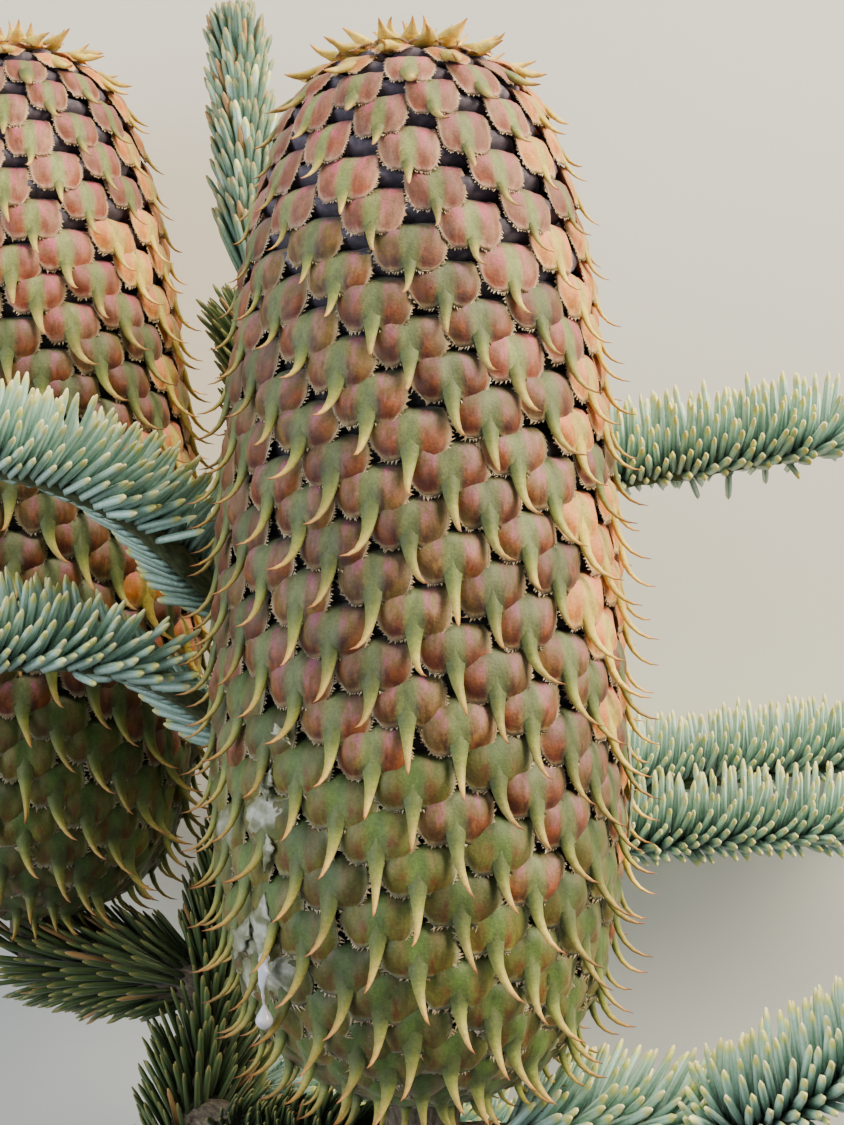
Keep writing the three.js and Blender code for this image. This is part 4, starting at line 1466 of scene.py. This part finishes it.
# %% Cut wood
GROWTH_RING = 0.571
WAVE_TURNS = 20
cut_wood, cut_tree, cut_shader = new_material("fresh cut wood", {"Base Color": "cdb48a", "Roughness": 0.7})
ring_scale = 2 * math.pi / WAVE_TURNS / GROWTH_RING
cut_rings = add_node(
    cut_tree, "ShaderNodeTexWave",
    {"Vector": spot_of(cut_tree)[0], "Scale": ring_scale, "Distortion": 1.2, "Detail": 2.0},
    wave_type="RINGS", rings_direction="Z",
)
cut_colour = add_node(
    cut_tree, "ShaderNodeValToRGB", {0: cut_rings}, [(0.2, "b08f5e"), (0.6, "d2bb90"), (1, "dccaa4")],
)
cut_tree.links.new(cut_colour.outputs[0], cut_shader.inputs["Base Color"])
print("scale of the rings:", round(ring_scale, 3))

# %% [markdown]
# A limb is a tube of rings along its line, pushed out at every needle scar and where the limb leaves its
# parent, with a flat cap at both ends. The scars could be bumps in the material, but they show on the
# outline of a thin twig, so they are real relief in a fine tube.

# %% Tube with bark relief
SCAR_SPACING = 0.75
SCAR_RADIUS = 0.75
SCAR_HEIGHT = 0.35
SWELLING = 0.35
SWELLING_REACH = 7
WAVE_HEIGHT = 0.012


def bark_tube(own, radii, sides, ring_gap, draw):
    """Corners, faces and spots of a limb's bark. The spots are millimetres round its own axis."""
    at, whole = lines[own]
    rings = max(3, int(whole / ring_gap)) + 1
    length = np.linspace(0, whole, rings)
    place, along, first, second = frames(at, length, OFF_THE_TABLE)
    angle = round_angles(sides)
    radius = taper(radii, length / whole)
    if own != "stem":
        radius = radius * (1 + SWELLING * np.exp(-length / SWELLING_REACH))
    waves = sum(
        np.sin(k * angle[None] + draw.uniform(0, 6.3) + length[:, None] * draw.uniform(-0.15, 0.15))
        for k in (2, 3, 5)
    )
    skin = radius[:, None] * (1 + WAVE_HEIGHT * waves)
    number = np.arange(int(whole / SCAR_SPACING))
    turn = (angle[None, :, None] - number * NEEDLE_TURN + math.pi) % (2 * math.pi) - math.pi
    away = (turn * radius[:, None, None]) ** 2 + (length[:, None, None] - number * SCAR_SPACING) ** 2
    near = np.sqrt(away.min(2)) / SCAR_RADIUS
    skin = skin + SCAR_HEIGHT * (np.exp(-(near ** 4)) - 0.5 * np.exp(-((near / 0.45) ** 2)))
    around = first[:, None] * np.cos(angle)[None, :, None] + second[:, None] * np.sin(angle)[None, :, None]
    points = (place[:, None] + around * skin[:, :, None]).reshape(-1, 3)
    points = np.concatenate([points, place[:1], place[-1:]])
    spots = np.stack(np.broadcast_arrays(
        np.cos(angle)[None] * skin, length[:, None], np.sin(angle)[None] * skin), -1).reshape(-1, 3)
    spots = np.concatenate([spots, [[0, 0, 0], [0, whole, 0]]])
    return points, tube_faces(rings, sides), spots


print("scars on the stem:", int(lines["stem"][1] / SCAR_SPACING))


# %% [markdown]
# The stem and the three boughs that carry the cones are the same tube, with the cut wood on both caps.

# %% Build the wood
LIMB_SIDES = 36
LIMB_RING_GAP = 0.8
for seed, (limb_name, limb) in enumerate(LIMBS.items()):
    tube_draw = np.random.default_rng(40 + seed)
    tube, limb_faces, tube_spots = bark_tube(limb_name, limb["radii"], LIMB_SIDES, LIMB_RING_GAP, tube_draw)
    bark_piece = add_mesh(
        f"{limb_name}_bark", laid_down(tube), limb_faces, [wood_bark, cut_wood], tube_spots,
        [np.full(len(part), number > 0) for number, part in enumerate(limb_faces)],
    )
    dress(bark_piece, "bark", limb_name)

# %% [markdown]
# A bud closes every shoot: blunt, with overlapping scales. They could be modelled one by one, but at
# this size low steps in a rounded tube are enough.

# %% Bud of a shoot
BUD_LENGTH = 5.5
BUD_RADIUS = 2.3
BUD_DEPTH = 1.5
BUD_TIP = 0.1
BUD_RINGS = 9
BUD_SIDES = 14


def bud_points(at, whole):
    """Corners of a bud at the end of a twig, a little way over its tip."""
    place, along, first, second = frames(at, np.array([whole]), OFF_THE_TABLE)
    share = np.linspace(0, 1, BUD_RINGS)
    angle = round_angles(BUD_SIDES)
    girth = BUD_RADIUS * np.sqrt(np.clip(1 - share ** 2.2, 0.001, 1))
    girth = girth * (0.75 + 0.25 * np.sin(share * math.pi))
    steps = 0.09 * np.cos(3 * angle[None] + 2.1 * np.arange(BUD_RINGS)[:, None])
    skin = girth[:, None] * (1 + steps)
    around = first[0] * np.cos(angle)[:, None] + second[0] * np.sin(angle)[:, None]
    middle = place[0] + along[0] * (BUD_LENGTH * share - BUD_DEPTH)[:, None, None]
    rings = middle + around[None] * skin[:, :, None]
    ends = [place - along * BUD_DEPTH, place + along * (BUD_LENGTH - BUD_DEPTH + BUD_TIP)]
    return np.concatenate([rings.reshape(-1, 3), *ends])


print("corners of a bud:", BUD_RINGS * BUD_SIDES + 2)


# %% [markdown]
# Each shoot is one twig with its bud, and its needles. Needles are joined into one mesh for each shoot and
# dealt out between two shades, with a few dry ones on the leader, since one shade would look like plastic.
# More than seven needles are placed on each millimetre of twig, and those without room are left out.

# %% Build the shoots
NEEDLE_SPACING = 0.132
LEADER_THINNER = 1.1
SIDE_LEAN = 1.36
TWIG_SIDES = 14
TWIG_RING_GAP = 1.2
PLAIN_PLAN = {
    "length": NEEDLE_LENGTH, "radii": TWIG_RADII, "spacing": NEEDLE_SPACING, "turn_to": UP_THE_BRANCH,
    "all_round": False, "leaves": 0.9, "closes": 0.86, "towards": (0, 0, 0), "swept": 1, "old": False,
}
LEADER_PLAN = {
    "all_round": True, "turn_to": OFF_THE_TABLE, "leaves": 0.25, "spacing": NEEDLE_SPACING * LEADER_THINNER,
}


def build_twig(name, draw):
    at, whole = lines[name]
    tube, twig_faces, tube_spots = bark_tube(name, TWIG_RADII, TWIG_SIDES, TWIG_RING_GAP, draw)
    bud = bud_points(at, whole)
    bud_faces = [part + len(tube) for part in tube_faces(BUD_RINGS, BUD_SIDES)]
    return add_mesh(
        f"{name}_twig", laid_down(np.concatenate([tube, bud])), twig_faces + bud_faces,
        [twig_bark, bud_material], np.concatenate([tube_spots, np.zeros((len(bud), 3))]),
        [np.zeros(len(part)) for part in twig_faces] + [np.ones(len(part)) for part in bud_faces],
    )


def build_shoot(name, seed):
    shoot = SHOOTS[name]
    draw = np.random.default_rng(seed)
    leader = name == "leader_shoot"
    plan = {**PLAIN_PLAN, **(LEADER_PLAN if leader else {}), **shoot}
    plan["lean"] = shoot["lean"] * (1 if leader else SIDE_LEAN)
    points, spots = grow_needles(name, (shoot["bare"], lines[name][1]), plan, draw)
    shade = draw.random(len(points))
    # Per shoot, the share of the brighter grey green is also painted light: high on the right middle and
    # lower shoots, which lie furthest from the lamps, and low on the front shoot.
    dealt = np.where(shade < shoot.get("blue", 0.5), BLUE, GREY)
    if leader:
        dealt = np.where(shade < 0.06, DRY, np.where(shade < 0.92, SOFT, GREY))
    needles = add_parts(f"{name}_needles", points, needle_faces, needle_materials, spots, dealt)
    for piece in (needles, build_twig(name, draw)):
        dress(piece, "needles", name)


for seed, shoot_name in enumerate(SHOOTS):
    build_shoot(shoot_name, 60 + seed)

# %% [markdown]
# Older needles clothe the stem and the boughs. They are darker and thinner than young ones, and lie
# closer along the wood, all round it. The solids have them as coarse sleeves, and here they grow by the
# same rule as on a shoot.

# %% Build the sleeves of old needles
OLD_PLAN = {
    **PLAIN_PLAN, "length": 13.5, "spacing": 0.12, "lean": 34, "leaves": 0.4, "closes": 0.97,
    "all_round": True, "old": True,
}
DRY_SHARE = 0.05


def build_sleeve(name, seed):
    sleeve = SLEEVES[name]
    draw = np.random.default_rng(seed)
    limb = sleeve["limb"]
    whole = lines[limb][1]
    ends = sleeve["from"], sleeve["to"]
    plan = {**OLD_PLAN, "radii": [taper(LIMBS[limb]["radii"], end) for end in ends]}
    if limb == "stem":
        plan["turn_to"] = OFF_THE_TABLE
    points, spots = grow_needles(limb, [end * whole for end in ends], plan, draw)
    dealt = np.where(draw.random(len(points)) < DRY_SHARE, DRY, OLD)
    needles = add_parts(f"{name}_grown", points, needle_faces, needle_materials, spots, dealt)
    dress(needles, "old_needles", name)


for seed, sleeve_name in enumerate(SLEEVES):
    build_sleeve(sleeve_name, 80 + seed)

# %% [markdown]
# The floor is a plain pale table, matt so that it shows no reflection. The light could come from a sky
# picture, but three soft lamps are plainer: a large window on the right, a low sun beyond the top of the
# branch, which brightens the cones' rims, and a faint sky on the left.

# %% Table and light
FLOOR_HALF = 2.0
SKY_STRENGTH = 0.29
corners = [(-1, -1, 0), (1, -1, 0), (1, 1, 0), (-1, 1, 0)]
floor_mesh = bpy.data.meshes.new("table")
floor_mesh.from_pydata([Vector(corner) * FLOOR_HALF for corner in corners], [], [(0, 1, 2, 3)])
floor = bpy.data.objects.new("table", floor_mesh)
bpy.context.scene.collection.objects.link(floor)
floor_mesh.materials.append(new_material("pale matte table", {"Base Color": "d9dad6", "Roughness": 0.85})[0])

world = bpy.data.worlds.new("soft daylight")
bpy.context.scene.world = world
world.use_nodes = True
world.node_tree.nodes["Background"].inputs[0].default_value = linear("e3ebf2")
world.node_tree.nodes["Background"].inputs[1].default_value = SKY_STRENGTH


def add_light(name, place, size, power, colour):
    """A square lamp that points at the middle of the branch."""
    lamp = bpy.data.lights.new(name, "AREA")
    lamp.size = size
    lamp.energy = power
    lamp.color = linear(colour)[:3]
    light = bpy.data.objects.new(name, lamp)
    bpy.context.scene.collection.objects.link(light)
    light.location = place
    light.rotation_euler = (Vector((0, 0, 0.1)) - Vector(place)).to_track_quat("-Z", "Y").to_euler()


add_light("window light", (0.75, 0.45, 0.45), 0.5, 19, "fff0d2")
add_light("low sun", (0.3, 0.95, 0.3), 0.35, 15, "fff0d6")
add_light("sky light", (-0.8, 0.2, 0.55), 0.8, 10, "eef2f6")
print("lights:", ", ".join(light.name for light in bpy.data.lights))
